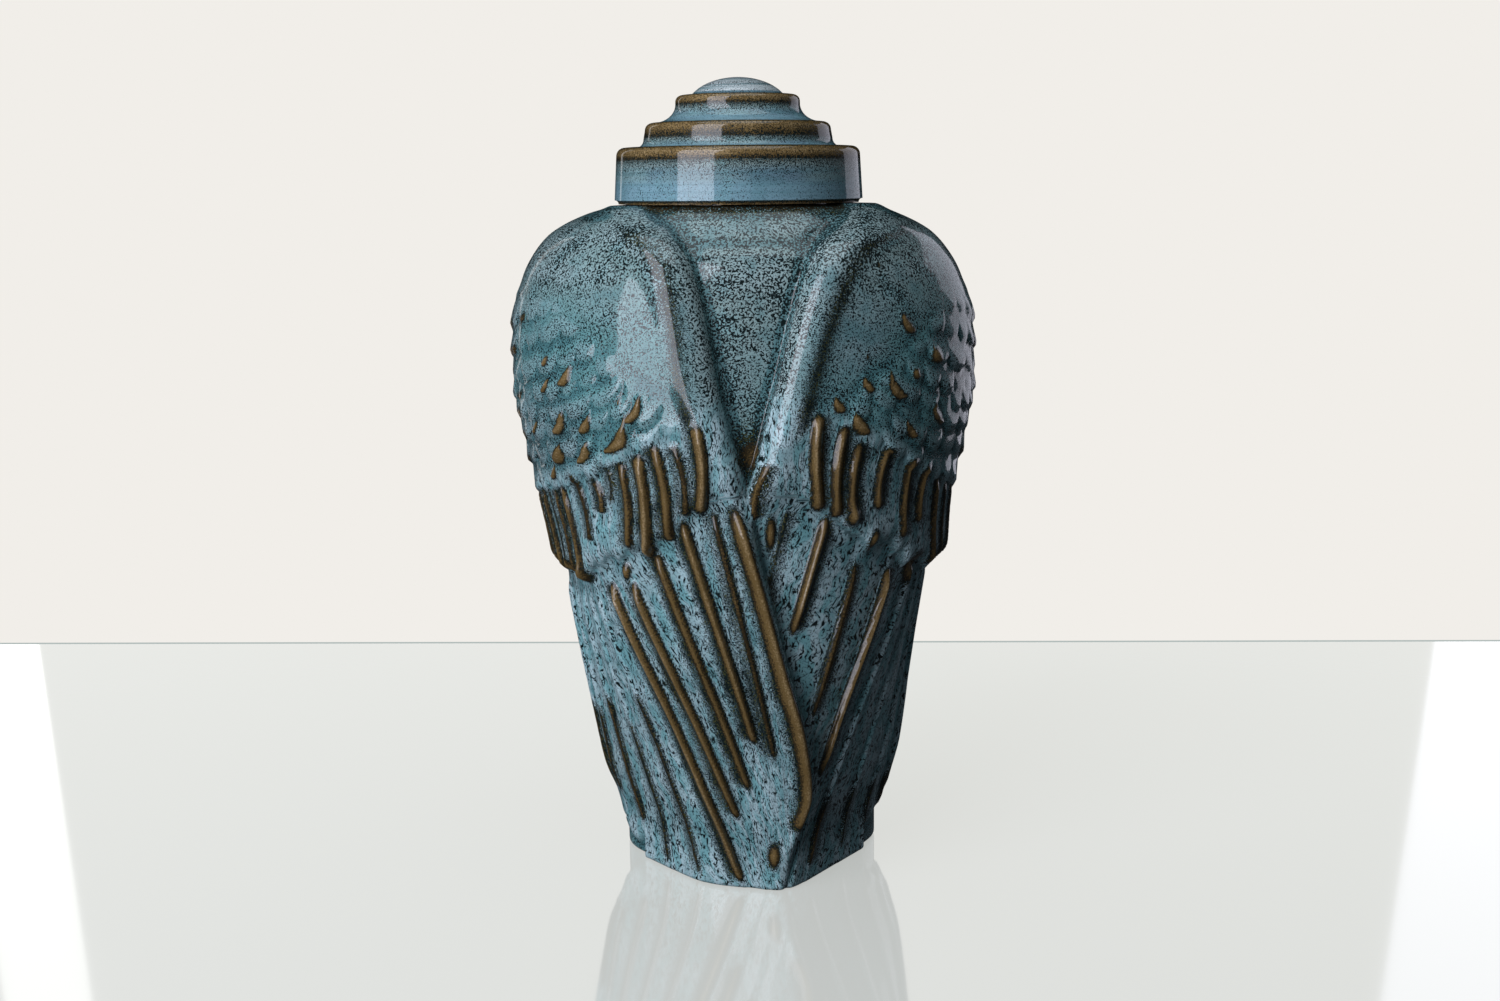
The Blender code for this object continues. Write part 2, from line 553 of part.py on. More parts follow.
def lid_profile():
    """Half section of the lid, down its outer side from the top and back up its hollow."""
    drum_top = LID_SEAT + DRUM_HEIGHT
    tier_top = drum_top + TIER_HEIGHT
    crown_top = tier_top + CROWN_HEIGHT
    top = crown_top + DOME_RISE
    drum_shoulder = LID_RADIUS - DRUM_TAPER
    tier_shoulder = TIER_RADIUS - TIER_TAPER
    points = [(0, top)]
    points += quarter((0, top), (DOME_RADIUS, crown_top + DOME_LIP), True, 4)
    points += [(DOME_RADIUS + DOME_LIP, crown_top), (CROWN_RADIUS - CROWN_ROUND, crown_top)]
    points += quarter(points[-1], (CROWN_RADIUS, crown_top - CROWN_ROUND), True)
    points += [(CROWN_RADIUS, crown_top - CROWN_WALL)]
    points += quarter(points[-1], (tier_shoulder - TIER_ROUND, tier_top), False)
    points += quarter(points[-1], (tier_shoulder, tier_top - TIER_ROUND), True)
    points += [(TIER_RADIUS, drum_top + COVE)]
    points += quarter(points[-1], (TIER_RADIUS + COVE, drum_top), False)
    points += [(drum_shoulder - DRUM_ROUND, drum_top)]
    points += quarter(points[-1], (drum_shoulder, drum_top - DRUM_ROUND), True)
    points += [(LID_RADIUS, LID_SEAT + LID_FOOT_ROUND), (LID_RADIUS - LID_FOOT_ROUND, LID_SEAT)]
    flange = MOUTH_RADIUS - FLANGE_CLEARANCE
    hole = flange - FLANGE_WALL
    seat_top = LID_SEAT + SEAT_THICKNESS
    points += [(flange, LID_SEAT), (flange, LID_SEAT - FLANGE_DEPTH), (hole, LID_SEAT - FLANGE_DEPTH)]
    points += [(hole, seat_top), (LID_RADIUS - LID_WALL, seat_top)]
    points += [(drum_shoulder - LID_WALL, drum_top - DRUM_ROUND - LID_WALL)]
    tier_inside = TIER_RADIUS - LID_WALL
    points += [(tier_inside, drum_top - LID_WALL), (tier_inside, tier_top - TIER_ROUND - LID_WALL)]
    points += [(tier_shoulder - TIER_ROUND - LID_WALL, tier_top - LID_WALL)]
    crown_inside = CROWN_RADIUS - LID_WALL
    points += [(crown_inside, crown_top - CROWN_WALL - LID_WALL)]
    points += [(crown_inside, crown_top - CROWN_ROUND - LID_WALL)]
    points += [(DOME_RADIUS - LID_WALL, crown_top - LID_WALL), (0, top - LID_WALL)]
    return points


def turned(name, profile, steps):
    """Solid of revolution about the vertical axis."""
    mesh = bpy.data.meshes.new(name)
    edges = [(number, number + 1) for number in range(len(profile) - 1)]
    mesh.from_pydata([(radius, 0, height) for radius, height in profile], edges, [])
    piece = bpy.data.objects.new(name, mesh)
    screw = piece.modifiers.new("turn", "SCREW")
    screw.steps = steps
    screw.render_steps = steps
    screw.use_merge_vertices = True
    screw.merge_threshold = 1e-6
    screw.use_smooth_shade = True
    return piece


def glaze(name, colour, roughness):
    """Glossy glaze of one plain colour."""
    material = bpy.data.materials.new(name)
    material.use_nodes = True
    shader = material.node_tree.nodes["Principled BSDF"]
    shader.inputs["Base Color"].default_value = (*colour, 1)
    shader.inputs["Roughness"].default_value = roughness
    shader.inputs["Metallic"].default_value = 0
    return material


def cut(piece, cutter, cutters):
    """Take a cutter's volume away from a piece."""
    cutters.objects.link(cutter)
    cutter.hide_render = True
    cutter.display_type = "WIRE"
    boolean = piece.modifiers.new("cut_" + cutter.name, "BOOLEAN")
    boolean.operation = "DIFFERENCE"
    boolean.solver = "EXACT"
    boolean.object = cutter


def build():
    for old in list(bpy.data.objects):
        bpy.data.objects.remove(old)
    urn = bpy.data.collections.new("funeral_urn")
    cutters = bpy.data.collections.new("cutters")
    bpy.context.scene.collection.children.link(urn)
    bpy.context.scene.collection.children.link(cutters)

    skin_heights = rows(ROWS, -CUT_MARGIN, BODY_HEIGHT + CUT_MARGIN)
    body = rolled_skin("urn_body", COLUMNS, skin_heights, outer_radius)
    urn.objects.link(body)
    body.data.materials.append(glaze("body_glaze", VESSEL_COLOUR, VESSEL_ROUGHNESS))
    fewer = body.modifiers.new("fewer_faces", "DECIMATE")
    fewer.ratio = OUTER_DETAIL
    cut(body, block("ground_cut", -2 * CUT_MARGIN, 0), cutters)
    cut(body, block("rim_cut", BODY_HEIGHT, BODY_HEIGHT + 2 * CUT_MARGIN), cutters)
    hollow_heights = rows(INNER_ROWS, FLOOR, BODY_HEIGHT + CUT_MARGIN)
    cut(body, rolled_skin("hollow_cut", INNER_COLUMNS, hollow_heights, inner_radius), cutters)

    lid = turned("lid", lid_profile(), LID_STEPS)
    urn.objects.link(lid)
    lid.data.materials.append(glaze("lid_glaze", LID_COLOUR, LID_ROUGHNESS))


build()
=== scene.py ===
"""Looks of a lidded ceramic urn: the glazed vessel with its two folded wings, and the turned lid.

Metres, +Z up, -Y to the front. Angles round the axis are in degrees from the front towards +X,
and heights on the vessel are often shares of its own height.
"""

import math
from types import SimpleNamespace

import bpy
import numpy as np
from mathutils import Matrix, Vector


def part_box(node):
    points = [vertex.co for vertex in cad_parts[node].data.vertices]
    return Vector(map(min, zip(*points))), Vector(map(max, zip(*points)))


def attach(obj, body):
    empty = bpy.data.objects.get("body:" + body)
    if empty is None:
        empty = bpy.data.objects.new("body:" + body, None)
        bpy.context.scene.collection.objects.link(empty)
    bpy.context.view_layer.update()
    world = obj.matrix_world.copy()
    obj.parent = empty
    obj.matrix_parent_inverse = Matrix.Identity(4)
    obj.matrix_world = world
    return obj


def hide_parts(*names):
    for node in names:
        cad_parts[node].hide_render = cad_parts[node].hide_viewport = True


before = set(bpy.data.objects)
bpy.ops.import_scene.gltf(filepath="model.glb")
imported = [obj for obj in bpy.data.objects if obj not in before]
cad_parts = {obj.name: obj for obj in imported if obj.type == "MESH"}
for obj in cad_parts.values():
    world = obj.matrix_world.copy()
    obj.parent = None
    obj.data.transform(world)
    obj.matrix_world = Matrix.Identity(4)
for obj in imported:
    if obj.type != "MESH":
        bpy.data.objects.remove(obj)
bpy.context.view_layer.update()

# Vessel
BODY_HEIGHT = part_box("urn_body")[1].z
HALF_WIDTH = .0905  # axis to the widest part of a wing
HALF_DEPTH = .0795  # axis to the front of a wing at the same height
WALL = .0055
FLOOR = .007
MOUTH_RADIUS = .036
RIM_WIDTH = .0095
RIM_ROUND = .0018
MOUTH_LAND = .0055
FOOT_ROUND = .0018
FLOOR_ROUND = .008
CORNER_SHARPNESS = 18

# Wing layers
CHEST_DEPTH = .0044
FOOT_STEP = .003
UPPER_LAYER = .0042
ROLL_HEIGHT = .0014
ROLL_WIDTH = .006
TOP_LIFT = .0046  # how much higher a wing's front edge stands at the rim
LIFT_SPREAD = 26  # width of that, in degrees
EDGE_ROUND = .0105  # reach of the rounding of a wing's front edge
EDGE_FACE = .0026  # width of the steep foot of a wing's front edge
EDGE_STEP = .3  # and its share of the edge's height
LAP_RISE = .0022
LAP_WIDTH = .022
LAP_SPREAD = 16
LAST_RIDGE = .003
LAST_WIDTH = .003
BACK_ROUND = .006
BACK_ANGLE = 177
SHOULDER_ANGLE = 40
HOLLOW_SOFTNESS = .022

# Long feathers
LONG_RIDGE = .0034
CREST_SHARE = .6
RIDGE_WIDTH = .0022
RIDGE_FLANK = .001
NARROWING = .35  # how much narrower a long ridge is at its foot
FADE_IN = .01
FADE_OUT = .014
FAINT = .35
TIP_LOBE = .0045
TIP_ROUND = .006

# Short feathers
SHORT_RIDGE = .0023
SHORT_ROUND = .0075  # reach of the rounding at the row's lower edge
SHORT_SOFT = .016  # the same at the front, where it melts into the long ones
SOFT_ANGLE = 12
SOFT_SPREAD = 30
SHORT_LOBE = .003
SHORT_GAP = .0035
SHORT_LANE = 6  # degrees that one lane of the glaze takes
SHORT_WAVE = .0015
SHORT_BOW = 1.6
SHORT_POINT = .22
SHORT_END_ROUND = .003
FLARE_ANGLE = 85
FLARE_SPREAD = 32
BEAD_HEIGHT = .0016
BEAD_LENGTH = .003
BEAD_WIDTH = .0026
DROP_HEIGHT = .0017
DROP_SPREAD = .6

# Scales
SCALE_RIDGE = .0029
SCALE_WIDTH = .0115
SCALE_ROW = .0092
SCALE_REACH = 1.35
SCALE_LAP = .003
SCALE_ROUND = .0036
SCALE_JITTER = .0024
SCALE_WANDER = .3
SCALE_WAVE = 9
SCALE_START = 12
SCALE_FADE = .04
SCALE_FAINT = .75
RIM_HEIGHT = .0011
RIM_TILT = 38
RIM_BEND = 60
RIM_SPREAD = 1.35
HIDDEN_ANGLE = 68  # past it the bare rims are scattered, and not placed one by one
WORN = .55  # share of the scales there that have none
WORN_PLACE = .0016  # of a bare rim, above a scale's tip
WORN_WIDTH = .0017

# Shares of height between which something fades in, or out if the first is higher
LIFT_START = (.82, 1)
SHOULDER_START = (.86, 1)
TOP_SPECKS_START = (.8, .94)
RIM_BAND_START = (.975, .995)
BAND_START = (.66, .72)
BAND_END = (.985, .955)
ROLL_END = (.995, .945)
CHEST_END = (.996, .941)
LAYER_END = (1, .955)
HOLLOW_END = (.96, .88)
CROSSING_TOP = (.62, .54)
CROSSING_FOOT = (.02, .12)
LAST_CREST_TOP = (.61, .56)
LAST_CREST_FOOT = (.09, .12)

# Lid
GAP = .0003
LID_OVERHANG = .003
LID_WALL = .005
SEAT_THICKNESS = .005
FLANGE_DEPTH = .008
FLANGE_WALL = .004
FLANGE_CLEARANCE = .001
DRUM_HEIGHT = .0215
DRUM_TAPER = .001
DRUM_ROUND = .0032
COVE = .0031
TIER_HEIGHT = .0093
TIER_RADIUS = .0368
TIER_TAPER = .0006
TIER_ROUND = .0029
CROWN_HEIGHT = .0104
CROWN_RADIUS = .0242
CROWN_WALL = .0034
CROWN_ROUND = .0025
DOME_RADIUS = .0175
DOME_RISE = .0068
DOME_LIP = .0006
DOME_TURN = 60  # degrees that the dome turns down by at its edge
LID_FOOT_ROUND = .0015
RIM_RADIUS = MOUTH_RADIUS + RIM_WIDTH
LID_RADIUS = RIM_RADIUS + LID_OVERHANG
LID_SEAT = BODY_HEIGHT + GAP
DRUM_TOP = LID_SEAT + DRUM_HEIGHT
TIER_TOP = DRUM_TOP + TIER_HEIGHT
CROWN_TOP = TIER_TOP + CROWN_HEIGHT
LID_TOP = CROWN_TOP + DOME_RISE
FLANGE_RADIUS = MOUTH_RADIUS - FLANGE_CLEARANCE
HOLE_RADIUS = FLANGE_RADIUS - FLANGE_WALL

# Mesh fineness
FRONT_COLUMNS = 400
BACK_COLUMNS = 50  # on each side of the back seam
FRONT_ANGLE = 100
OUTER_ROWS = 164
ROW_ANGLE = 35  # where the rows lie evenly
EDGE_ROWS = 5
INNER_ROWS = 12
LID_COLUMNS = 240
AXIS_HOLE = .00001  # radius of the smallest rings, at the lid's axis
POOL_CELLS = 3  # reach of the smoothing that finds hollows, in mesh cells

# Glaze over the ridges
THIN_CREST = .0027  # reach of the bared brown down a ridge's gentle side
THIN_STEEP = .0012  # and down its steep side
FRINGE_REACH = .0056  # reach of the speckled fringe down the gentle side
STEEP_LINE = .0013  # from the crest to the dark line on the steep side
LINE_WIDTH = .0006
FRINGE = .47  # thinness of the glaze where the fringe starts
BARE = 1.1  # the same on drops, beads and rims
LANE = 7  # millimetres that one feather counts for in the run of the glaze
INNER_LANE = 60  # and a radian inside the vessel
PIECE_STEP = 500  # keeps the runs on the two wings apart, in millimetres
BAND = .4  # speckled band along a wing's roll
BAND_WIDTH = .0035
CHEST_PATCH = .62  # and in the bottom of the chest
PATCH_ANGLE = 3
PATCH_SHARE = .66
RIM_BAND = .5
INNER_FACE_SHADE = 1.15  # how much a roll's inner face is speckled like the chest, partly as painted shade in the crease of the V
TOP_SPECKS = .85  # the same on top of the wings
CHEST_SPECKS = ((.6, .7), (.68, .7), (.75, .5), (.79, .6), (.83, .9), (.92, 1), (.95, .95), (1, .8))
LID_RINGS = .3  # strength of the thrown rings, where the dome has 1
SHARP_ANGLE = 50

# Form of the vessel: flat sides of the foot as (angle, distance), and widths as keys of curves.
FOOT_SIDES = ((-10.3, .0545), (-49, .0467), (53.2, .0492), (-90, .052), (90, .058),
              (-133, .0465), (133, .0485), (180, .052))
FOOT_BLEND = (.05, .4)
SIDE_LOW = ((0, .65), (.054, .65), (.161, .718), (.375, .8), (.489, .85), (.604, .925), (.73, .996))
SIDE_HIGH = ((.775, 1), (.845, .98), (.898, .885), (.937, .74), (.97, .52), (.988, .31), (1, 0))
FRONT_LOW = ((0, .7), (.054, .72), (.19, .82), (.38, .93), (.57, .975), (.72, 1))
FRONT_HIGH = ((.79, .99), (.84, .945), (.898, .83), (.929, .7), (.944, .6), (.963, .43),
              (.985, .16), (1, 0))
LEAN = ((0, .0025), (.15, .0015), (.3, .0008), (.65, .0015), (.8, .0012), (.95, .0005), (1, 0))

# Short feathers and scales: (degrees from the opening, share of height).
SHORT_TOP = ((0, .73), (12, .712), (28, .668), (42, .628), (55, .608), (90, .585), (176, .58))
SHORT_END = ((0, .6), (10, .588), (20, .545), (27, .522), (40, .5), (54, .462), (80, .468),
             (92, .448), (176, .46))
SCALE_TOP = ((0, .7), (12, .715), (20, .75), (27, .775), (45, .845), (60, .885), (90, .89), (176, .88))
SCALE_ROWS = 10

# Wings, in degrees towards their own side. The edge, crest, band and tips are keys of curves. A short
# ridge is its top as share and angle, its tip as the same, its strength and its bead. A drop or rim is
# its share, angle, width and length. What concerns long feathers goes by number, from the front.
LEFT_WING = SimpleNamespace(
    side=-1,
    edge=((0, -15), (.103, -22), (.149, -24.5), (.236, -21.5), (.35, -14.5), (.498, -6.8),
          (.612, -1.9), (.737, 4.6), (.857, 9.7), (.919, 14.2), (.965, 23.3), (.996, 41.9), (1, 46)),
    crest=((0, .0034), (.45, .0036), (.64, .0066), (.8, .0115), (1, .0065)),
    short_ridges=(
        (.712, 11.4, .584, 10.7, 1.25, 0), (.684, 18, .578, 15.2, .5, 0), (.684, 23.3, .543, 20.3, .85, 0),
        (.67, 27.8, .514, 27.2, 1.25, 1), (.658, 33.3, .526, 33, .75, 0), (.65, 38.5, .59, 37.5, .35, 0),
        (.625, 43.2, .575, 40.8, .6, 0), (.632, 50.5, .529, 47, .5, 0), (.61, 57, .46, 54.1, .75, 1),
    ),
    short_pitch=4.8,
    drops=((.487, 36.5, .0032, .005), (.056, -10.5, .0034, .0078)),
    rims=(
        (.784, 56.3, .0026, .0034), (.763, 48.9, .004, .0072), (.748, 56.5, .0026, .0058),
        (.694, 52.1, .0042, .0086), (.699, 42.5, .0036, .0066), (.72, 27.7, .0032, .0105),
        (.68, 32.4, .005, .0105), (.683, 63.6, .0018, .006), (.648, 54.5, .0052, .0078),
        (.657, 43.9, .0038, .0078), (.62, 58.8, .0032, .0044),
    ),
    band=((.66, .013), (.76, .0125), (.85, .01), (.97, .007)),
    flare=0,
    offset=0,
    feathers=21,
    root_angle=((0, 7.2), (4, 41.7), (5, 51), (6, 56), (7, 61), (8, 68), (12, 100), (21, 184)),
    ground_angle=((0, -20), (1, -18), (4, .5), (5, 19), (6, 40), (7, 59), (8, 76), (12, 104), (21, 184)),
    root_height=((0, .571), (1, .558), (2, .505), (3, .456), (4, .45), (6, .42), (21, .42)),
    end_height=((0, .218), (1, .245), (2, .17), (3, .122), (4, .018), (6, .02), (7, .066),
                (8, .1), (21, .1)),
    strength=(.5, 1, .8, 1, 1.1, .4, .35, .5, .45, .5, .5),
    bare_height=((0, 1), (4, 1), (5, .31), (6, .26), (7, .29), (8, .26), (21, .26)),
    tips=((-25, -.1), (40, -.05), (60, .02), (80, .054), (95, .12), (105, .19), (130, .29),
          (165, .35), (180, .36)),
)
RIGHT_WING = SimpleNamespace(
    side=1,
    edge=((0, -25), (.5, -14), (.615, 1.4), (.734, 8.4), (.877, 16.9), (.946, 25.5), (.984, 42.8),
          (1, 54)),
    crest=((0, .008), (1, .008)),
    short_ridges=(
        (.658, 7.6, .572, 3.2, .7, 0), (.726, 20.1, .584, 20.9, 1.45, 0), (.708, 27.4, .575, 25.9, 1, 0),
        (.682, 31.7, .56, 31, .8, 1), (.67, 40.5, .578, 38.4, .8, 0), (.652, 48.7, .53, 49, .8, 0),
        (.634, 55.8, .546, 54.9, .9, 0), (.615, 62.2, .473, 67.5, .8, 0),
    ),
    short_pitch=7.2,
    drops=((.551, 8.4, .0029, .01), (.532, 38.6, .003, .006), (.472, 59, .0056, .01)),
    rims=(
        (.833, 46.2, .0034, .008), (.788, 55.1, .0042, .0056), (.766, 47.7, .0028, .0034),
        (.745, 41.3, .0034, .01), (.755, 33.3, .0028, .005), (.728, 25.5, .0034, .005),
        (.701, 31, .0046, .0072), (.702, 56, .0036, .008), (.686, 46.2, .0028, .006),
    ),
    band=((.66, .012), (.76, .0115), (.85, .0125), (.97, .013)),
    flare=.0042,
    offset=9,
    feathers=17,
    root_angle=((0, 12.5), (1, 23.3), (2, 34), (3, 47.4), (4, 60), (5, 68), (8, 92), (17, 186)),
    ground_angle=((0, -15), (1, -6.4), (2, 9.2), (3, 17.5), (4, 25), (5, 50), (6, 70), (8, 92), (17, 186)),
    root_height=((0, .57), (1, .558), (2, .484), (3, .465), (17, .42)),
    end_height=((0, .45), (1, .409), (2, .276), (3, .18), (4, .03), (17, .1)),
    strength=(.3, 1, .55, 1, .55, .35, .35),
    bare_height=((0, 1), (3, 1), (4, .14), (17, .14)),
    tips=((-25, -.1), (45, -.05), (60, .02), (80, .05), (100, .055), (112, .12), (130, .24),
          (165, .34), (180, .36)),
)
OTHER_STRENGTH = .5

# Camera, in the photograph's frame of 1500 by 1001
FRAME_WIDTH = 1500
FOCAL_PIXELS = 1710
SENSOR_WIDTH = 36
CAMERA_PLACE = (.0032, -.681, .2705)
CAMERA_PITCH = 10.6  # degrees below level
CAMERA_ROLL = -.6
TABLE_EDGE = .304  # back edge of the table, behind the urn's axis
TABLE_TURN = 1.85  # degrees that this edge is turned
EDGE_LINE = .0009  # height of the grey line along it
REACH = 3  # half width of the table
CARD_REACH = 4  # half width of the wall that the table mirrors
CARD_HEIGHT = 5
CARD_PLACE = 2.4

# Lights: azimuth, distance and height; height aimed at; width and height; power; colour.
LIGHTS = {
    "key_box": (-39, 1.1, .62, .15, (.75, 1.5), 16.5, (.94, .95, 1.06)),
    "top_box": (0, .1, 1.3, .15, (1, .8), 4, (.86, .95, 1)),
    "right_strip": (135, 2.6, .575, .425, (1.7, 1.85), 8.9, (.96, .96, 1.1)),
    "left_strip": (-138, .9, .3, .15, (.07, .9), .2, (1, 1, 1)),
}
WORLD_COLOUR = (.8, .88, 1, 1)
WORLD_STRENGTH = .039


def curve(x, keys):
    """Value at x of the smooth curve through (place, value) keys that never overshoots them."""
    places, values = np.array(keys, float).T
    gaps = np.diff(places)
    slopes = np.diff(values) / gaps
    tangents = np.zeros_like(values)
    same_way = slopes[:-1] * slopes[1:] > 0
    total = np.where(same_way, slopes[:-1] + slopes[1:], 1)
    tangents[1:-1] = np.where(same_way, 2 * slopes[:-1] * slopes[1:] / total, 0)
    tangents[0] = slopes[0]
    tangents[-1] = slopes[-1]
    x = np.clip(x, places[0], places[-1])
    i = np.clip(np.searchsorted(places, x) - 1, 0, len(places) - 2)
    t = (x - places[i]) / gaps[i]
    ends = (2 * t**3 - 3 * t**2 + 1) * values[i] + (3 * t**2 - 2 * t**3) * values[i + 1]
    bends = (t**3 - 2 * t**2 + t) * tangents[i] + (t**3 - t**2) * tangents[i + 1]
    return ends + bends * gaps[i]


def held(t):
    """t, but not under 0 or over 1."""
    return np.clip(t, 0, 1)


def smooth(t):
    """Soft step from 0 to 1."""
    t = held(t)
    return t * t * (3 - 2 * t)


def fade(share, heights):
    """Soft step from 0 at the first of two heights to 1 at the second, all as shares."""
    return smooth((share - heights[0]) / (heights[1] - heights[0]))


def rounded(t):
    """Quarter-round step from 0 to 1, steep at its foot."""
    return np.sqrt(1 - (1 - held(t)) ** 2)


def bump(distance, width):
    """Rounded ridge, 1 at its crest."""
    return np.exp(-((distance / width) ** 2))


def scatter(number, row):
    """Repeatable number from 0 to 1 for each scale of a row."""
    return np.modf(np.abs(np.sin(number * 12.9898 + row * 78.233) * 43758.5453))[0]


def half_size(share, widest, low, high):
    """Half the width or depth of the form that the wings lie on."""
    keys = [(place, widest * value) for place, value in low]
    keys += [(place, RIM_RADIUS + (widest - RIM_RADIUS) * value) for place, value in high]
    return curve(share, keys)


def plain_radius(angle, share):
    """Radius of the form that the wings lie on, at an angle in degrees and a share of height."""
    theta = np.radians(angle)
    side = HALF_WIDTH - UPPER_LAYER
    half_width = half_size(share, side, SIDE_LOW, SIDE_HIGH)
    half_depth = half_size(share, HALF_DEPTH - UPPER_LAYER, FRONT_LOW, FRONT_HIGH)
    oval = ((np.sin(theta) / half_width) ** 2 + (np.cos(theta) / half_depth) ** 2) ** -.5
    oval = oval + curve(share, LEAN) * np.sin(theta)
    reach = np.zeros_like(oval)
    for azimuth, distance in FOOT_SIDES:
        facing = np.maximum(np.cos(theta - np.radians(azimuth)), 0)
        reach = reach + (facing / distance) ** CORNER_SHARPNESS
    foot = reach ** (-1 / CORNER_SHARPNESS) * half_width / (side * SIDE_LOW[0][1])
    square = 1 - smooth((share - FOOT_BLEND[0]) / FOOT_BLEND[1])
    return square * foot + (1 - square) * oval


def bared(across, strength, ends, width=1):
    """How thin the glaze runs over a ridge, with a speckled fringe down its gentle side."""
    width = width * (.45 + .55 * np.minimum(strength, 1.2))
    gentle = across >= 0
    crest = bump(across, np.where(gentle, THIN_CREST * width, THIN_STEEP))
    dark_line = .5 * bump(across + STEEP_LINE, LINE_WIDTH)
    fringe = np.where(gentle, FRINGE * bump(across, FRINGE_REACH), dark_line)
    return ends * np.maximum(
        np.minimum(.2 + .9 * strength, 1.15) * crest, fringe * np.minimum(strength + .3, BARE)
    )


def long_feathers(wing, out, share, arc):
    """Relief, depth inside the tips, thinness of the glaze, and lane count of the long feathers."""
    height = share * BODY_HEIGHT
    count = wing.feathers
    edges = []
    for number in range(count + 1):
        root = curve(number, wing.root_angle)
        ground = curve(number, wing.ground_angle)
        edges.append(ground + (root - ground) * share / curve(number, wing.root_height))
    relief, thin, lane = np.zeros((3, *out.shape))
    inside_tip = height + FOOT_STEP
    for number in range(count):
        strength = wing.strength[number] if number < len(wing.strength) else OTHER_STRENGTH
        across = (out - edges[number]) * arc
        pitch = np.maximum((edges[number + 1] - edges[number]) * arc, RIDGE_FLANK)
        place = held(across / pitch)
        tip = curve(curve(number, wing.ground_angle), wing.tips) * BODY_HEIGHT
        end = np.maximum(curve(number, wing.end_height) * BODY_HEIGHT, tip)
        root = curve(number, wing.root_height) * BODY_HEIGHT
        lower_end = smooth((height - end) / FADE_OUT + FAINT)
        upper_end = smooth((root - height) / FADE_IN + 1 - FAINT)
        present = FAINT + (1 - FAINT) * lower_end * upper_end
        down = held((root - height) / (root - end))
        narrow = (1 - NARROWING * down) * (.25 + .75 * upper_end)
        slope = (1 - CREST_SHARE) * np.where(across >= 0, (1 - place) ** 1.5, bump(across, RIDGE_FLANK))
        crest = CREST_SHARE * bump(across, np.where(across >= 0, RIDGE_WIDTH * narrow, RIDGE_FLANK))
        relief += LONG_RIDGE * strength * (slope * present + crest * lower_end * upper_end)
        bare_height = curve(number, wing.bare_height) * BODY_HEIGHT
        ends = np.minimum(2.5 * lower_end * upper_end, 1) * smooth((bare_height - height) / FADE_IN)
        thin = np.maximum(thin, bared(across, strength, ends, narrow))
        lane += place if number else np.minimum(across / pitch, 1)
        on_feather = (across >= 0) & (out < edges[number + 1])
        lobe = TIP_LOBE * (2 * place - 1) ** 2
        inside_tip = np.where(on_feather, height - tip - lobe, inside_tip)
    return relief, inside_tip, thin, lane


def short_ridges(wing):
    """Ridges of the short feathers: top and tip in shares of height and degrees, strength, bead."""
    ridges = list(wing.short_ridges)
    lean = ridges[-1][1] - ridges[-1][3]
    angle = ridges[-1][3] + wing.short_pitch
    while angle < BACK_ANGLE:
        number = len(ridges)
        top = float(curve(angle + lean - wing.offset, SHORT_TOP))
        tip = float(curve(angle - wing.offset, SHORT_END))
        strength = OTHER_STRENGTH + .2 * math.sin(2.4 * number)
        ridges.append((top, angle + lean, tip, angle, strength, max(math.sin(2.7 * number), 0)))
        angle += wing.short_pitch
    return ridges


def short_feathers(wing, out, share, arc):
    """Cover and height of the row of short feathers, relief of its ridges, and thinness of the glaze."""
    height = share * BODY_HEIGHT
    own = out - wing.offset
    ridge, thin = np.zeros((2, *out.shape))
    nearest = np.full_like(out, SHORT_GAP)
    for top, top_angle, tip, tip_angle, strength, bead in short_ridges(wing):
        length = (top - tip) * BODY_HEIGHT
        down = (top - share) / (top - tip)
        bow = SHORT_BOW * held(4 * down * (1 - down))
        middle = top_angle + (tip_angle - top_angle) * down - bow
        across = (out - middle) * arc
        taper = smooth(down / SHORT_POINT) * smooth((1 - down) * length / SHORT_END_ROUND + .3)
        width = RIDGE_WIDTH * (.55 + .45 * strength)
        crest = SHORT_RIDGE * strength * taper * bump(across, np.where(across > 0, width, RIDGE_FLANK))
        from_tip = height - tip * BODY_HEIGHT - BEAD_LENGTH
        drop = bead * bump((out - tip_angle) * arc, BEAD_WIDTH) * bump(from_tip, BEAD_LENGTH)
        ridge = np.maximum(ridge, crest + BEAD_HEIGHT * drop)
        thin = np.maximum(thin, bared(across, strength, np.minimum(2.5 * taper, 1)))
        thin = np.maximum(thin, BARE * drop)
        nearest = np.minimum(nearest, np.abs(across))
    sides = smooth((own - SOFT_ANGLE) / SOFT_SPREAD)
    end = curve(own, SHORT_END) * BODY_HEIGHT + SHORT_WAVE * sides * np.sin(out / 2.3)
    above = height - end - SHORT_LOBE * sides * smooth(nearest / SHORT_GAP)
    layer = smooth(above / SHORT_SOFT + FAINT) * (1 - sides) + rounded(above / SHORT_ROUND) * sides
    top = curve(own, SHORT_TOP) * BODY_HEIGHT
    flare = wing.flare * bump(own - FLARE_ANGLE, FLARE_SPREAD) * smooth((top - height) / (top - end))
    return layer, UPPER_LAYER * fade(share, LAYER_END) + flare, ridge, thin


def drops(wing, out, height, arc):
    """Drop-shaped swellings, where the glaze runs thin: share of height, degrees, width and length."""
    swelling = np.zeros_like(out)
    for share, angle, width, length in wing.drops:
        across = bump((out - angle) * arc, DROP_SPREAD * width)
        swelling = np.maximum(swelling, across * bump(height - share * BODY_HEIGHT, DROP_SPREAD * length))
    return swelling


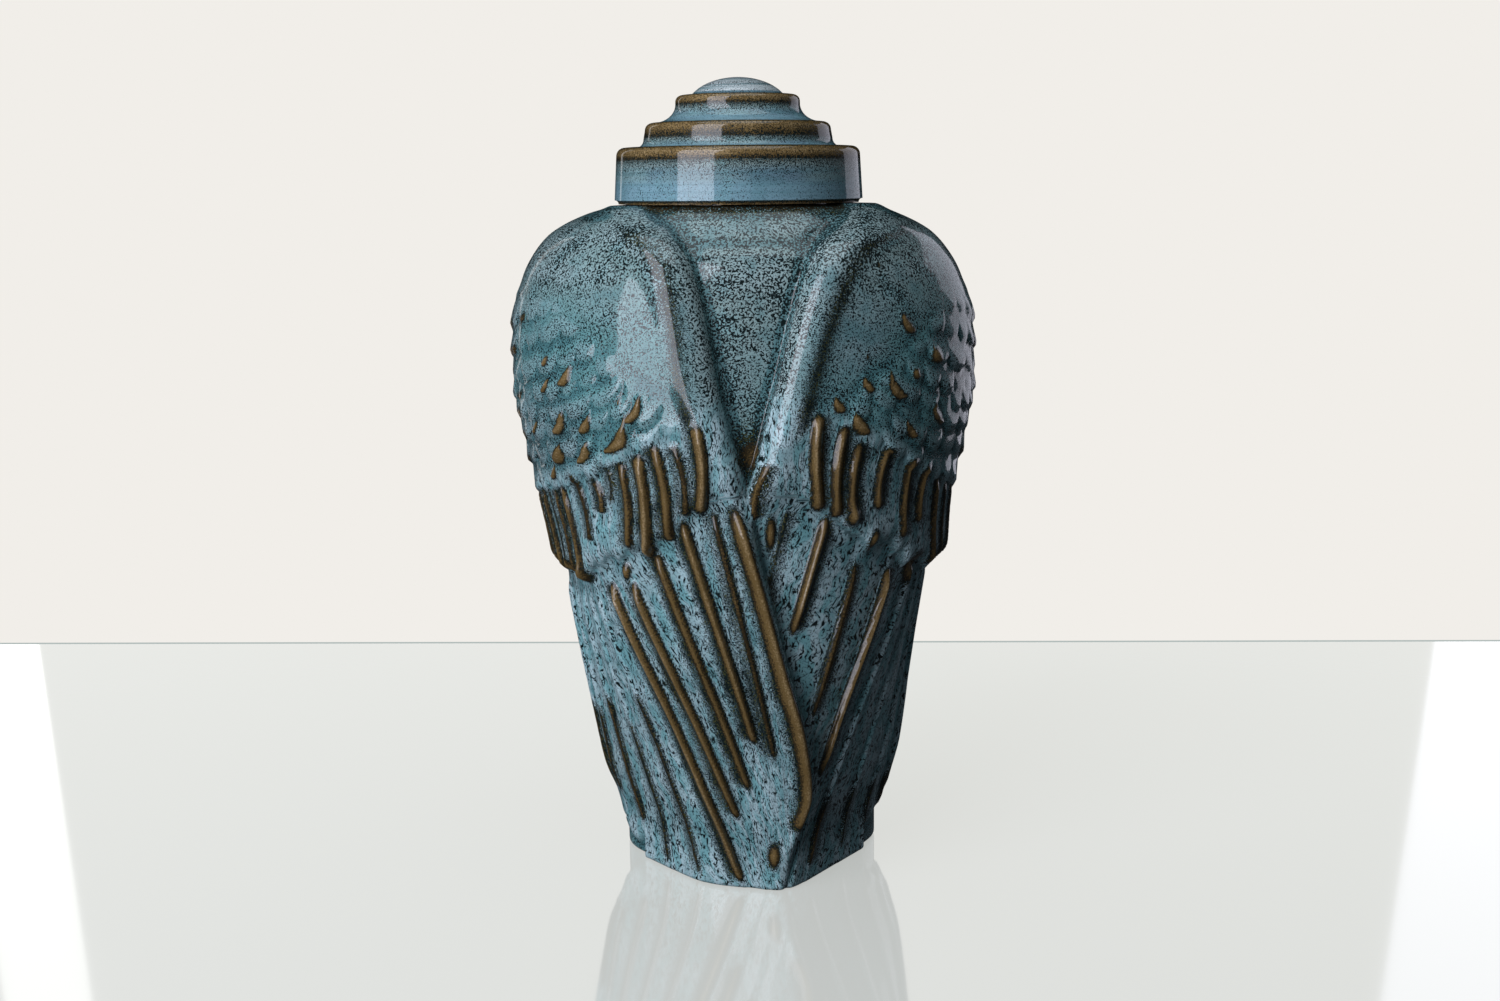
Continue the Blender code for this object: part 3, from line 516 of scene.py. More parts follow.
def rims(wing, out, height, arc):
    """Raised crescents on the front rims of scales: share of height, degrees, width and length."""
    swelling = np.zeros_like(out)
    lean = math.radians(RIM_TILT)
    for share, angle, width, length in wing.rims:
        beside = (out - angle) * arc
        above = height - share * BODY_HEIGHT
        along = above * math.cos(lean) - beside * math.sin(lean)
        across = beside * math.cos(lean) + above * math.sin(lean) - RIM_BEND * along**2
        reach = np.clip(1 - (2 * along / (RIM_SPREAD * length)) ** 2, 1e-3, 1)
        swelling = np.maximum(swelling, 1 - (2 * across / (RIM_SPREAD * width * reach)) ** 2)
    return held(swelling)


def scales(wing, out, share):
    """Relief and thinness of the glaze of the overlapping scales on the outer side of a wing."""
    height = share * BODY_HEIGHT
    own = out - wing.offset
    low = curve(own, SHORT_TOP) * BODY_HEIGHT - SCALE_LAP
    high = curve(own, SCALE_TOP) * BODY_HEIGHT
    relief, thin = np.zeros((2, *out.shape))
    for row in range(SCALE_ROWS):
        drift = .5 * (row % 2) + SCALE_WANDER * np.sin(out / SCALE_WAVE + 1.7 * row)
        column = np.radians(out) * HALF_WIDTH / SCALE_WIDTH + drift
        number = np.floor(column)
        side = 2 * (column - number) - 1
        tip = low + row * SCALE_ROW + SCALE_JITTER * np.sin(12.9 * number + 5.3 * row)
        above = height - tip - .5 * SCALE_ROW * (1 - np.sqrt(1 - .96 * side**2))
        bulge = .75 + .25 * np.sin(7.7 * number + 4.1 * row)
        fall = held(1 - above / (SCALE_REACH * SCALE_ROW))
        scale = bulge * rounded(above / SCALE_ROUND) * fall * (1 - .4 * side**2)
        on_top = (above > 0) & (scale > relief)
        worn = (scatter(number, row) > WORN) * (own > HIDDEN_ANGLE)
        crescent = worn * bump(above - WORN_PLACE, WORN_WIDTH) * bump(side + .3, .6)
        thin = np.where(on_top, crescent, thin)
        relief = np.where(on_top, scale, relief)
    below_top = high - height
    grow = smooth((own - SCALE_START) / SCALE_START) * smooth(below_top / SCALE_ROW)
    grow = grow * (SCALE_FAINT + (1 - SCALE_FAINT) * smooth(below_top / SCALE_FADE))
    return SCALE_RIDGE * relief * grow, thin * grow


def outward(wing, angle):
    """Degrees from the front towards a wing's own side, on round to past the back."""
    out = wing.side * angle
    return np.where(out < -60, out + 360, out)


def edge_distance(wing, out, share, arc):
    """Distance from a wing's edge along the surface, positive on the wing."""
    step = .002
    turn = curve(share + step, wing.edge) - curve(share - step, wing.edge)
    rise = turn / (2 * step * BODY_HEIGHT)
    return (out - curve(share, wing.edge)) * arc / np.sqrt(1 + (rise * arc) ** 2)


def crossing_rise(wing, out, from_edge, share):
    """Rise of the wing on top, and sinking of the one below, where they cross at the front."""
    crossing = fade(share, CROSSING_TOP) * fade(share, CROSSING_FOOT)
    if wing is RIGHT_WING:
        return -crossing * LAP_RISE * bump(np.maximum(out - 2, 0), LAP_SPREAD)
    across = from_edge - curve(share, wing.crest)
    last_ridge = bump(across, np.where(across > 0, LAST_WIDTH, RIDGE_WIDTH))
    return crossing * (LAP_RISE * bump(np.maximum(from_edge, 0), LAP_WIDTH) + LAST_RIDGE * last_ridge)


def wing_surface(wing, out, share, arc):
    """Relief, thinness of the glaze, and lane and kind of its run, all over a wing."""
    height = share * BODY_HEIGHT
    relief, inside_tip, thin, lane = long_feathers(wing, out, share, arc)
    feather = rounded(inside_tip / TIP_ROUND)
    relief = relief * feather - FOOT_STEP * (1 - feather)
    layer, cover, ridge, short_thin = short_feathers(wing, out, share, arc)
    scale_relief, scale_thin = scales(wing, out, share)
    drop = drops(wing, out, height, arc)
    rim = rims(wing, out, height, arc)
    relief = relief * (1 - layer) + layer * cover + ridge + scale_relief
    relief = relief + DROP_HEIGHT * drop + RIM_HEIGHT * rim
    thin = thin * feather * (1 - layer)
    thin = np.maximum.reduce([thin, short_thin, scale_thin, BARE * drop, BARE * rim])
    on_short = layer > .5
    lane = np.where(on_short, out / SHORT_LANE, lane)
    top = curve(out - wing.offset, SHORT_TOP)
    run = np.where(on_short, 1 - smooth((share - top + .02) / .06), smooth(inside_tip / TIP_ROUND))
    return relief, thin, lane, run


def lay_wing(wing, below, base, angle, share):
    """Fields with a wing laid over what is there: radius, thinness of glaze, lane and kind of run."""
    out = outward(wing, angle)
    arc = np.radians(base)
    near_edge = bump(out - curve(share, wing.edge), LIFT_SPREAD)
    lift = TOP_LIFT * near_edge * fade(share, LIFT_START)
    lifted = plain_radius(angle, share - lift / BODY_HEIGHT)
    from_edge = edge_distance(wing, out, share, arc)
    crest = curve(share, wing.crest)
    relief, thin, lane, run = wing_surface(wing, out, share, arc)
    relief += ROLL_HEIGHT * bump(from_edge - crest, ROLL_WIDTH) * fade(share, ROLL_END)
    relief += crossing_rise(wing, out, from_edge, share)
    band = BAND * bump(from_edge - curve(share, wing.band), BAND_WIDTH)
    thin = np.maximum(thin, band * fade(share, BAND_START) * fade(share, BAND_END))
    if wing is LEFT_WING:
        crossing = fade(share, LAST_CREST_TOP) * fade(share, LAST_CREST_FOOT)
        thin = np.maximum(thin, bared(from_edge - crest, 1.2, crossing, 1.2))
    from_back = (BACK_ANGLE - out - SHOULDER_ANGLE * fade(share, SHOULDER_START)) * arc
    steep = np.sin(held(from_edge / EDGE_FACE) * np.pi / 2)
    present = EDGE_STEP * steep + (1 - EDGE_STEP) * rounded(from_edge / np.minimum(crest, EDGE_ROUND))
    present = present * rounded(from_back / BACK_ROUND)
    on_wing = present > EDGE_STEP
    # Denser specks and greyer colour on a roll's inner face: partly the chest's speckle, partly painted
    # shade in the crease of the V
    inner_face_shade = INNER_FACE_SHADE * (1 - smooth(from_edge / crest - .1))
    chest = np.maximum(inner_face_shade, TOP_SPECKS * fade(share, TOP_SPECKS_START))
    lane = lane * LANE + PIECE_STEP * wing.side
    laid = {"thin": thin * smooth(present), "lane": lane, "streaked": run, "chest": chest}
    fields = {label: np.where(on_wing, values, below[label]) for label, values in laid.items()}
    fields["radius"] = below["radius"] + (lifted + relief - below["radius"]) * present
    return fields


def outer_fields(angle, height):
    """Radius of the finished vessel, and what its glaze follows, at angles and heights."""
    angle = (angle + 180) % 360 - 180
    share = held(height / BODY_HEIGHT)
    base = plain_radius(angle, share)
    patch = CHEST_PATCH * bump(angle - PATCH_ANGLE, 6) * bump(share - PATCH_SHARE, .04)
    patch = np.maximum(patch, RIM_BAND * fade(share, RIM_BAND_START))
    fields = {
        "radius": base - CHEST_DEPTH * fade(share, CHEST_END),
        "thin": patch,
        "lane": np.radians(angle) * base * 1000,
        "streaked": np.zeros_like(base),
        "chest": curve(share, CHEST_SPECKS),
    }
    for wing in (RIGHT_WING, LEFT_WING):
        fields = lay_wing(wing, fields, base, angle, share)
    foot = held(1 - height / FOOT_ROUND)
    rim = held(1 - (BODY_HEIGHT - height) / RIM_ROUND)
    fields["radius"] -= FOOT_ROUND * (1 - np.sqrt(1 - foot**2)) + RIM_ROUND * (1 - np.sqrt(1 - rim**2))
    return fields


def followed(wing, angle, share, base):
    """How far the hollow behind a wing moves out with it, more softly than the outside."""
    out = outward(wing, angle)
    arc = np.radians(base)
    from_edge = edge_distance(wing, out, share, arc)
    if wing is RIGHT_WING:
        from_lap = -edge_distance(LEFT_WING, outward(LEFT_WING, angle), share, arc)
        from_edge = np.where(out < 60, np.minimum(from_edge, from_lap), from_edge)
    from_back = (BACK_ANGLE - out) * arc
    above_tips = smooth((share - curve(out, wing.tips) - .03) / .1)
    beside = smooth(from_edge / HOLLOW_SOFTNESS) * smooth(from_back / HOLLOW_SOFTNESS)
    short_end = curve(out - wing.offset, SHORT_END)
    upper = smooth((share - short_end - .03) / .08) * fade(share, HOLLOW_END)
    return beside * (above_tips * max(FOOT_STEP, CHEST_DEPTH) + upper * UPPER_LAYER)


def inner_radius(angle, height):
    """Radius of the hollow: the outside form less the wall, closing in to the mouth at the top."""
    angle = (angle + 180) % 360 - 180
    share = held(height / BODY_HEIGHT)
    share_above = held((height + WALL) / BODY_HEIGHT)
    form = np.minimum(plain_radius(angle, share), plain_radius(angle, share_above))
    wings = np.maximum(*(followed(wing, angle, share, form) for wing in (LEFT_WING, RIGHT_WING)))
    sink = np.minimum(crossing_rise(RIGHT_WING, outward(RIGHT_WING, angle), 0, share), 0)
    hollow = form - max(FOOT_STEP, CHEST_DEPTH) + wings + sink - WALL
    corner = held(1 - (height - FLOOR) / FLOOR_ROUND)
    hollow = hollow - FLOOR_ROUND * (1 - np.sqrt(1 - corner**2))
    closing = 1 - smooth((BODY_HEIGHT - MOUTH_LAND - height) / MOUTH_LAND)
    return hollow + (MOUTH_RADIUS - hollow) * closing


def blurred(field, cells):
    """Field smoothed over a number of mesh cells; its columns run round in a ring."""
    reach = np.arange(-3 * cells, 3 * cells + 1)
    weights = np.exp(-.5 * (reach / cells) ** 2)
    weights /= weights.sum()
    ringed = sum(weight * np.roll(field, shift, axis=1) for weight, shift in zip(weights, reach))
    rows = np.arange(len(field))
    return sum(
        weight * ringed[np.clip(rows + shift, 0, len(field) - 1)] for weight, shift in zip(weights, reach)
    )


def linked(name, data):
    """New object in the scene."""
    thing = bpy.data.objects.new(name, data)
    bpy.context.scene.collection.objects.link(thing)
    return thing


def ring_mesh(name, places, fields):
    """Closed mesh from rings of points, with both ends filled."""
    rows, columns = places.shape[:2]
    corner = np.arange(rows * columns).reshape(rows, columns)
    beside = np.roll(corner, -1, axis=1)
    quads = np.stack([corner[:-1], beside[:-1], beside[1:], corner[1:]], axis=-1).reshape(-1, 4)
    faces = [corner[0][::-1].tolist(), corner[-1].tolist()] + quads.tolist()
    mesh = bpy.data.meshes.new(name)
    mesh.from_pydata(places.reshape(-1, 3).tolist(), [], faces)
    for label, values in fields.items():
        kind, key = ("FLOAT_VECTOR", "vector") if values.ndim == 3 else ("FLOAT", "value")
        attribute = mesh.attributes.new(label, kind, "POINT")
        attribute.data.foreach_set(key, values.astype(np.float32).ravel())
    mesh.shade_smooth()
    return linked(name, mesh)


def ring_places(radius, angle, height):
    """Points from their distance to the axis, angle and height."""
    theta = np.radians(angle)
    return np.stack([radius * np.sin(theta), -radius * np.cos(theta), height], axis=-1)


def even_rows(count):
    """Shares of height that lie evenly along the side of the form."""
    share = np.linspace(0, 1, 20 * count)
    side = plain_radius(np.full_like(share, ROW_ANGLE), share)
    along = np.concatenate([[0], np.cumsum(np.hypot(np.diff(side), np.diff(share) * BODY_HEIGHT))])
    return np.interp(np.linspace(0, along[-1], count), along, share)


def glazed_vessel():
    """The vessel: outside from the foot up, the rim, and the hollow down to its floor."""
    side = np.linspace(FRONT_ANGLE, 180, BACK_COLUMNS, endpoint=False)
    front = np.linspace(-FRONT_ANGLE, FRONT_ANGLE, FRONT_COLUMNS, endpoint=False)
    angles = np.concatenate([-180 + side - FRONT_ANGLE, front, side])
    foot = FOOT_ROUND * (1 - np.cos(np.linspace(0, np.pi / 2, EDGE_ROWS, endpoint=False)))
    rim = BODY_HEIGHT - RIM_ROUND * (1 - np.sin(np.linspace(0, np.pi / 2, EDGE_ROWS + 1)[1:]))
    middle = FOOT_ROUND + (BODY_HEIGHT - RIM_ROUND - FOOT_ROUND) * even_rows(OUTER_ROWS)
    outer_heights = np.concatenate([foot, middle, rim])
    down = (1 - np.cos(np.linspace(0, np.pi, INNER_ROWS))) / 2
    inner_heights = BODY_HEIGHT - (BODY_HEIGHT - FLOOR) * down

    angle, height = np.meshgrid(angles, outer_heights)
    fields = outer_fields(angle, height)
    radius = fields["radius"]
    fields["raised"] = (radius - blurred(radius, POOL_CELLS)) * 1000
    inner_angle, inner_height = np.meshgrid(angles, inner_heights)
    places = np.concatenate([
        ring_places(radius, angle, height),
        ring_places(inner_radius(inner_angle, inner_height), inner_angle, inner_height),
    ])
    inside = np.zeros((len(inner_heights), len(angles)))
    along = height * 1000
    run = np.stack([fields["lane"], along, np.zeros_like(along)], axis=-1)
    inner_run = np.stack([np.radians(inner_angle) * INNER_LANE, inner_height * 1000, inside], axis=-1)
    attributes = {label: np.concatenate([fields[label], inside]) for label in VESSEL_LOOK.fields}
    return ring_mesh("glazed_vessel", places, attributes | {"run": np.concatenate([run, inner_run])})


def points_to(start, end, count, shape, turn=90):
    """Points from one (radius, height) to another by a round, a cove or a line, without the first."""
    whole = math.radians(turn)
    points = []
    for step in range(1, count + 1):
        part = step / count * whole
        ahead = math.sin(part) / math.sin(whole)
        behind = (1 - math.cos(part)) / (1 - math.cos(whole))
        if shape == "cove":
            ahead, behind = behind, ahead
        elif shape == "line":
            ahead = behind = step / count
        points.append((start[0] + (end[0] - start[0]) * ahead, start[1] + (end[1] - start[1]) * behind))
    return points


def lid_section():
    """Half section, down the outside and up the hollow: radius, height and thinness of the glaze."""
    drum_shoulder = LID_RADIUS - DRUM_TAPER
    section = [(AXIS_HOLE, LID_TOP, .1)]

    def add(points, *thins):
        """Points with the thinness of their glaze, from value to value evenly along them."""
        values = (section[-1][2], *thins)
        for number, (radius, height) in enumerate(points, 1):
            place = number / len(points) * len(thins)
            section.append((radius, height, float(np.interp(place, range(len(values)), values))))

    def go(shape, radius, height, count, *thins):
        add(points_to(section[-1], (radius, height), count, shape), *thins)

    dome = points_to((0, LID_TOP), (DOME_RADIUS, CROWN_TOP + DOME_LIP), 16, "round", DOME_TURN)
    add(dome, 0, .03, .06, .34, .03, .22)
    crown_start = (DOME_RADIUS + DOME_LIP, CROWN_TOP)
    add(points_to(crown_start, (CROWN_RADIUS - CROWN_ROUND, CROWN_TOP), 4, "line"), .45)
    go("round", CROWN_RADIUS, CROWN_TOP - CROWN_ROUND, 8, .9, .85)
    go("line", CROWN_RADIUS, CROWN_TOP - CROWN_WALL, 4, .48)
    tier_shoulder = TIER_RADIUS - TIER_TAPER
    go("cove", tier_shoulder - TIER_ROUND, TIER_TOP, 14, .4, .28, .15, .03, 0, 0, .3)
    go("round", tier_shoulder, TIER_TOP - TIER_ROUND, 8, .75, .9, .8)
    go("line", TIER_RADIUS, DRUM_TOP + COVE, 6, .56, .42)
    go("cove", TIER_RADIUS + COVE, DRUM_TOP, 8, .32, .05, 0)
    go("line", drum_shoulder - DRUM_ROUND, DRUM_TOP, 4, 0, .4)
    go("round", drum_shoulder, DRUM_TOP - DRUM_ROUND, 8, .7, .95, .85)
    drum_thins = (.46, .4, .33, .26, .19, .12, .05, 0, 0, 0, 0)
    go("line", LID_RADIUS, LID_SEAT + LID_FOOT_ROUND, 18, *drum_thins)
    go("round", LID_RADIUS - LID_FOOT_ROUND, LID_SEAT, 5, .5, .9)
    flange_foot = LID_SEAT - FLANGE_DEPTH
    add([(FLANGE_RADIUS, LID_SEAT), (FLANGE_RADIUS, flange_foot), (HOLE_RADIUS, flange_foot)], 1)
    return section + [(*inner, 1) for inner in lid_hollow()]


def lid_hollow():
    """Half section of the lid's hollow, up from the hole in the ring that it rests on."""
    seat_top = LID_SEAT + SEAT_THICKNESS
    tier_inside = TIER_RADIUS - LID_WALL
    crown_inside = CROWN_RADIUS - LID_WALL
    return [
        (HOLE_RADIUS, seat_top),
        (LID_RADIUS - LID_WALL, seat_top),
        (LID_RADIUS - DRUM_TAPER - LID_WALL, DRUM_TOP - 2 * LID_WALL),
        (tier_inside, DRUM_TOP - LID_WALL),
        (tier_inside, TIER_TOP - TIER_ROUND - LID_WALL),
        (tier_inside - TIER_TAPER - TIER_ROUND, TIER_TOP - LID_WALL),
        (crown_inside, CROWN_TOP - CROWN_WALL - LID_WALL),
        (crown_inside, CROWN_TOP - CROWN_ROUND - LID_WALL),
        (DOME_RADIUS - LID_WALL, CROWN_TOP - LID_WALL),
        (AXIS_HOLE, LID_TOP - LID_WALL),
    ]


def turned_lid():
    """The lid, turned round its axis."""
    section = np.array(lid_section()[::-1])
    angles = np.linspace(-180, 180, LID_COLUMNS, endpoint=False)
    angle, radius = np.meshgrid(angles, section[:, 0])
    height, thin = np.repeat(section.T[1:, :, None], LID_COLUMNS, axis=2)
    lengths = np.hypot(np.diff(section[:, 0]), np.diff(section[:, 1]))
    along = np.concatenate([[0], np.cumsum(lengths)])[:, None].repeat(LID_COLUMNS, axis=1)
    run = np.stack([np.radians(angle) * radius * 1000, along * 1000, np.zeros_like(radius)], axis=-1)
    rings = np.where(radius < DOME_RADIUS, 1, LID_RINGS)
    fields = {"thin": thin, "run": run, "rings": rings}
    lid = ring_mesh("turned_lid", ring_places(radius, angle, height), fields)
    lid.data.set_sharp_from_angle(angle=math.radians(SHARP_ANGLE))
    return lid


def new_material(name):
    """New material and its shader."""
    material = bpy.data.materials.new(name)
    material.use_nodes = True
    return material, material.node_tree.nodes["Principled BSDF"]


def put(node, inputs):
    """Link inputs of a node to outputs, or set them to plain values."""
    for label, value in inputs.items():
        if isinstance(value, bpy.types.NodeSocket):
            node.id_data.links.new(value, node.inputs[label])
        else:
            node.inputs[label].default_value = value


class Glaze:
    """Node tree of a glaze, built up from short calls."""

    def __init__(self, tree):
        self.tree = tree

    def node(self, kind, inputs, output=0, **settings):
        """Output of a new node that has these settings and inputs."""
        node = self.tree.nodes.new(kind)
        for label, value in settings.items():
            setattr(node, label, value)
        put(node, inputs)
        return node.outputs[output]

    def attribute(self, name, output="Fac"):
        return self.node("ShaderNodeAttribute", {}, output, attribute_name=name)

    def math(self, operation, a, b=0, c=0):
        return self.node("ShaderNodeMath", {0: a, 1: b, 2: c}, operation=operation)

    def times(self, a, b):
        return self.math("MULTIPLY", a, b)

    def centred(self, value):
        """A value from 0 to 1, moved so that it lies round 0."""
        return self.math("SUBTRACT", value, .5)

    def added(self, value, factor, base):
        """A base with a value times a factor added."""
        return self.math("MULTIPLY_ADD", value, factor, base)

    def scaled(self, vector, scale):
        return self.node("ShaderNodeVectorMath", {0: vector, 1: scale}, operation="MULTIPLY")

    def shifted(self, vector, offset):
        """Vector moved sideways by a number."""
        sideways = self.node("ShaderNodeCombineXYZ", {0: offset})
        return self.node("ShaderNodeVectorMath", {0: vector, 1: sideways})

    def noise(self, vector, scale, detail=2, rough=.5, distortion=0):
        inputs = {"Vector": vector, "Scale": scale, "Detail": detail, "Roughness": rough}
        return self.node("ShaderNodeTexNoise", {**inputs, "Distortion": distortion}, "Fac")

    def step(self, value, low, high):
        """Soft step of a value from 0 at low to 1 at high."""
        inputs = {"Value": value, "From Min": low, "From Max": high}
        return self.node("ShaderNodeMapRange", inputs, "Result", interpolation_type="SMOOTHSTEP")

    def mix(self, share, a, b):
        """Colour a where share is 0 and b where it is 1."""
        a, b = ((*colour, 1) if isinstance(colour, tuple) else colour for colour in (a, b))
        return self.node("ShaderNodeMix", {0: share, 6: a, 7: b}, 2, data_type="RGBA")

    def blend(self, share, a, b):
        """Number a where share is 0 and b where it is 1."""
        return self.node("ShaderNodeMix", {0: share, 2: a, 3: b})


def linear(red, green, blue):
    """Linear colour of a display colour given in 0 to 255."""
    return tuple(((c / 255 + .055) / 1.055) ** 2.4 if c > 10 else c / 3295 for c in (red, green, blue))


TEAL = linear(104, 154, 156)
POOLED = linear(126, 178, 184)
LILAC = linear(130, 162, 166)
PEARL = linear(146, 168, 166)
DOME = linear(192, 204, 206)
LID_BLUE = linear(110, 140, 154)
LID_PALE = linear(128, 166, 180)
SEA = linear(134, 188, 194)
# Pale lilac of thin, streaked glaze, used partly as a painted sheen and a painted highlight
MIST_AND_SHEEN = linear(190, 214, 220)
# Deep teal of pooled glaze, random patches and thrown rings; in hollows also painted shade
DEEP_AND_SHADE = linear(74, 124, 130)
INK = linear(20, 32, 32)
OLIVE = linear(72, 74, 40)
DARK_BROWN = linear(50, 42, 26)
BROWN = linear(110, 90, 54)
# Tan of the thinnest glaze on crests and rounded edges, partly a painted highlight
TAN_AND_HIGHLIGHT = linear(156, 134, 96)
PALE_WALL = linear(241, 238, 233)
PALE_TABLE = linear(228, 231, 227)
GREY_LINE = linear(176, 186, 184)

# Noise scales of the glaze, per metre
SWELL_NOISE = 70
BROAD_NOISE = 22
PATCHY_NOISE = 80
CHEST_NOISE = 1300
GRAIN_NOISE = 2300
FINE_BUMP = .00002  # depth of the specks

# Fields that glazes follow, and what differs between the two
FIELDS = ("thin", "streaked", "chest", "raised", "rings")
VESSEL_LOOK = SimpleNamespace(
    fields=("thin", "raised", "streaked", "chest"), blue=TEAL, pepper_noise=1700, deep_patches=.55,
    speck_level=.442, ragged_edge=.35, tan_highlight_levels=(.98, 1.28), swell=.0003,
)
LID_LOOK = SimpleNamespace(
    fields=("thin", "rings"), blue=LID_BLUE, pepper_noise=2200, deep_patches=.3,
    speck_level=.342, ragged_edge=.85, tan_highlight_levels=(.88, 1.15), swell=.00008,
)


def followed_fields(glaze, look):
    """What the colours follow: the piece's fields, or 0, its place and run, and common noises."""
    at = SimpleNamespace(**{name: glaze.attribute(name) if name in look.fields else 0 for name in FIELDS})
    at.place = glaze.node("ShaderNodeTexCoord", {}, "Object")
    at.run = glaze.attribute("run", "Vector")
    sway = glaze.noise(glaze.scaled(at.run, (.14, .13, 1)), 1, 1)
    at.wavy = glaze.shifted(at.run, glaze.times(glaze.centred(sway), 3))
    at.broad = glaze.noise(at.place, BROAD_NOISE, 3)
    at.patchy = glaze.noise(at.place, PATCHY_NOISE, 3)
    at.pepper = glaze.noise(at.place, look.pepper_noise, 1)
    at.near = glaze.step(at.thin, .05, .28)
    return at


def blue_coats(glaze, look, at):
    """Blue of the glaze, coat over coat: pale where it streaks, partly as a painted sheen; deeper where it
    sinks, and in hollows partly as painted shade; a little paler on raised parts, partly as a painted
    highlight.
    """
    # Mask of pale streaks: partly the glaze's own streaks, partly a painted sheen
    misty_sheen = glaze.step(glaze.noise(glaze.scaled(at.wavy, (.4, .05, 1)), 1.2, 2), .42, .56)
    coats = [(glaze.step(at.broad, .42, .62), LILAC)]
    if look is LID_LOOK:
        coats.append((glaze.step(at.thin, .16, 0), LID_PALE))
        coats.append((glaze.step(at.thin, .22, .42), PEARL))
    coats += [
        (glaze.times(at.chest, .8), PEARL),
        (glaze.times(at.streaked, .8), SEA),
        (glaze.times(glaze.step(at.patchy, .52, .72), .45), POOLED),
        # Pale streaks, partly the glaze's own and partly a painted sheen
        (glaze.times(glaze.times(misty_sheen, .75), at.streaked), MIST_AND_SHEEN),
        # Paler beside the ridges: partly the glaze thinning there, partly a painted sheen
        (glaze.times(glaze.times(at.near, .7), at.streaked), MIST_AND_SHEEN),
        # Deeper teal in hollows: partly pooled glaze, partly painted shade
        (glaze.times(glaze.step(at.raised, -.02, -.22), glaze.blend(at.streaked, .7, .3)), DEEP_AND_SHADE),
        # Paler on raised parts: partly thin glaze, partly a painted highlight
        (glaze.times(glaze.step(at.raised, .03, .25), .2), MIST_AND_SHEEN),
        (glaze.times(glaze.step(at.patchy, .5, .28), look.deep_patches), DEEP_AND_SHADE),
    ]
    if look is LID_LOOK:
        thrown = glaze.noise(glaze.scaled(at.run, (.01, 1, 0)), .7, 3, .6)
        thrown = glaze.times(glaze.step(thrown, .48, .58), .8)
        coats.append((glaze.step(at.rings, .5, 1), DOME))
        coats.append((glaze.times(thrown, at.rings), DEEP_AND_SHADE))
    blue = look.blue
    for share, colour in coats:
        blue = glaze.mix(share, blue, colour)
    return blue


def specks(glaze, look, at):
    """Share of the large black specks, which are drawn out and joined by threads where it streaks, and are
    denser in hollows, partly as painted shade.
    """
    streaky = glaze.times(at.streaked, glaze.math("SUBTRACT", 1, at.near))
    dots = glaze.blend(at.chest, at.pepper, glaze.noise(at.place, CHEST_NOISE, 2, .55))
    streaks = glaze.noise(glaze.scaled(at.wavy, (1, .17, 1)), 2.2, 2, .55, .2)
    dots = glaze.blend(streaky, dots, streaks)
    threads = glaze.noise(glaze.scaled(at.wavy, (.5, .14, 1)), 2.2, 1.5, .5, .5)
    threads = glaze.step(glaze.math("ABSOLUTE", glaze.centred(threads)), .04, .018)
    broken = glaze.step(glaze.noise(glaze.scaled(at.wavy, (.5, .2, 1)), 1, 2, .6), .5, .56)
    threads = glaze.times(glaze.times(threads, broken), streaky)
    level = glaze.blend(streaky, glaze.added(at.near, .025, look.speck_level), .405)
    level = glaze.added(at.chest, .042, level)
    level = glaze.added(glaze.centred(at.patchy), .22, level)
    level = glaze.added(glaze.centred(at.broad), .12, level)
    # Denser specks in hollows: partly pooled glaze, partly painted shade
    hollow = glaze.math("MAXIMUM", glaze.math("MINIMUM", at.raised, 0), -.3)
    level = glaze.added(hollow, -.07, level)
    return glaze.math("MAXIMUM", glaze.step(glaze.math("SUBTRACT", dots, level), .018, -.01), threads)


def grains(glaze, at):
    """Share of the finest dark grains."""
    drawn = glaze.noise(glaze.scaled(at.wavy, (1, .35, 1)), 3, 1)
    mottle = glaze.blend(at.streaked, glaze.noise(at.place, GRAIN_NOISE, 1), drawn)
    return glaze.times(glaze.step(mottle, .42, .36), .5)


def browned(glaze, look, at, colour):
    """The colour turned to brown where the glaze runs thin, with black specks at its edge, and a tan crest
    that is partly a painted highlight.
    """
    thin = at.thin
    jitter = glaze.centred(at.pepper)
    even = glaze.added(jitter, look.ragged_edge, thin)
    shade = glaze.added(glaze.centred(at.patchy), .5, glaze.added(jitter, .5, even))
    brown = glaze.mix(glaze.step(shade, .55, .88), DARK_BROWN, BROWN)
    # Tan along the crest: partly the thinnest glaze, partly a painted highlight
    brown = glaze.mix(glaze.step(shade, *look.tan_highlight_levels), brown, TAN_AND_HIGHLIGHT)
    if look is VESSEL_LOOK:
        bare = glaze.added(jitter, 2, thin)
        colour = glaze.mix(glaze.step(bare, .35, .4), colour, INK)
        colour = glaze.mix(glaze.step(bare, .54, .62), colour, OLIVE)
    colour = glaze.mix(glaze.step(even, .46, .54), colour, brown)
    if look is LID_LOOK:
        off_edge = glaze.math("ABSOLUTE", glaze.centred(thin))
        dotted = glaze.added(off_edge, .42, at.pepper)
        colour = glaze.mix(glaze.step(dotted, .555, .52), colour, INK)
    return colour


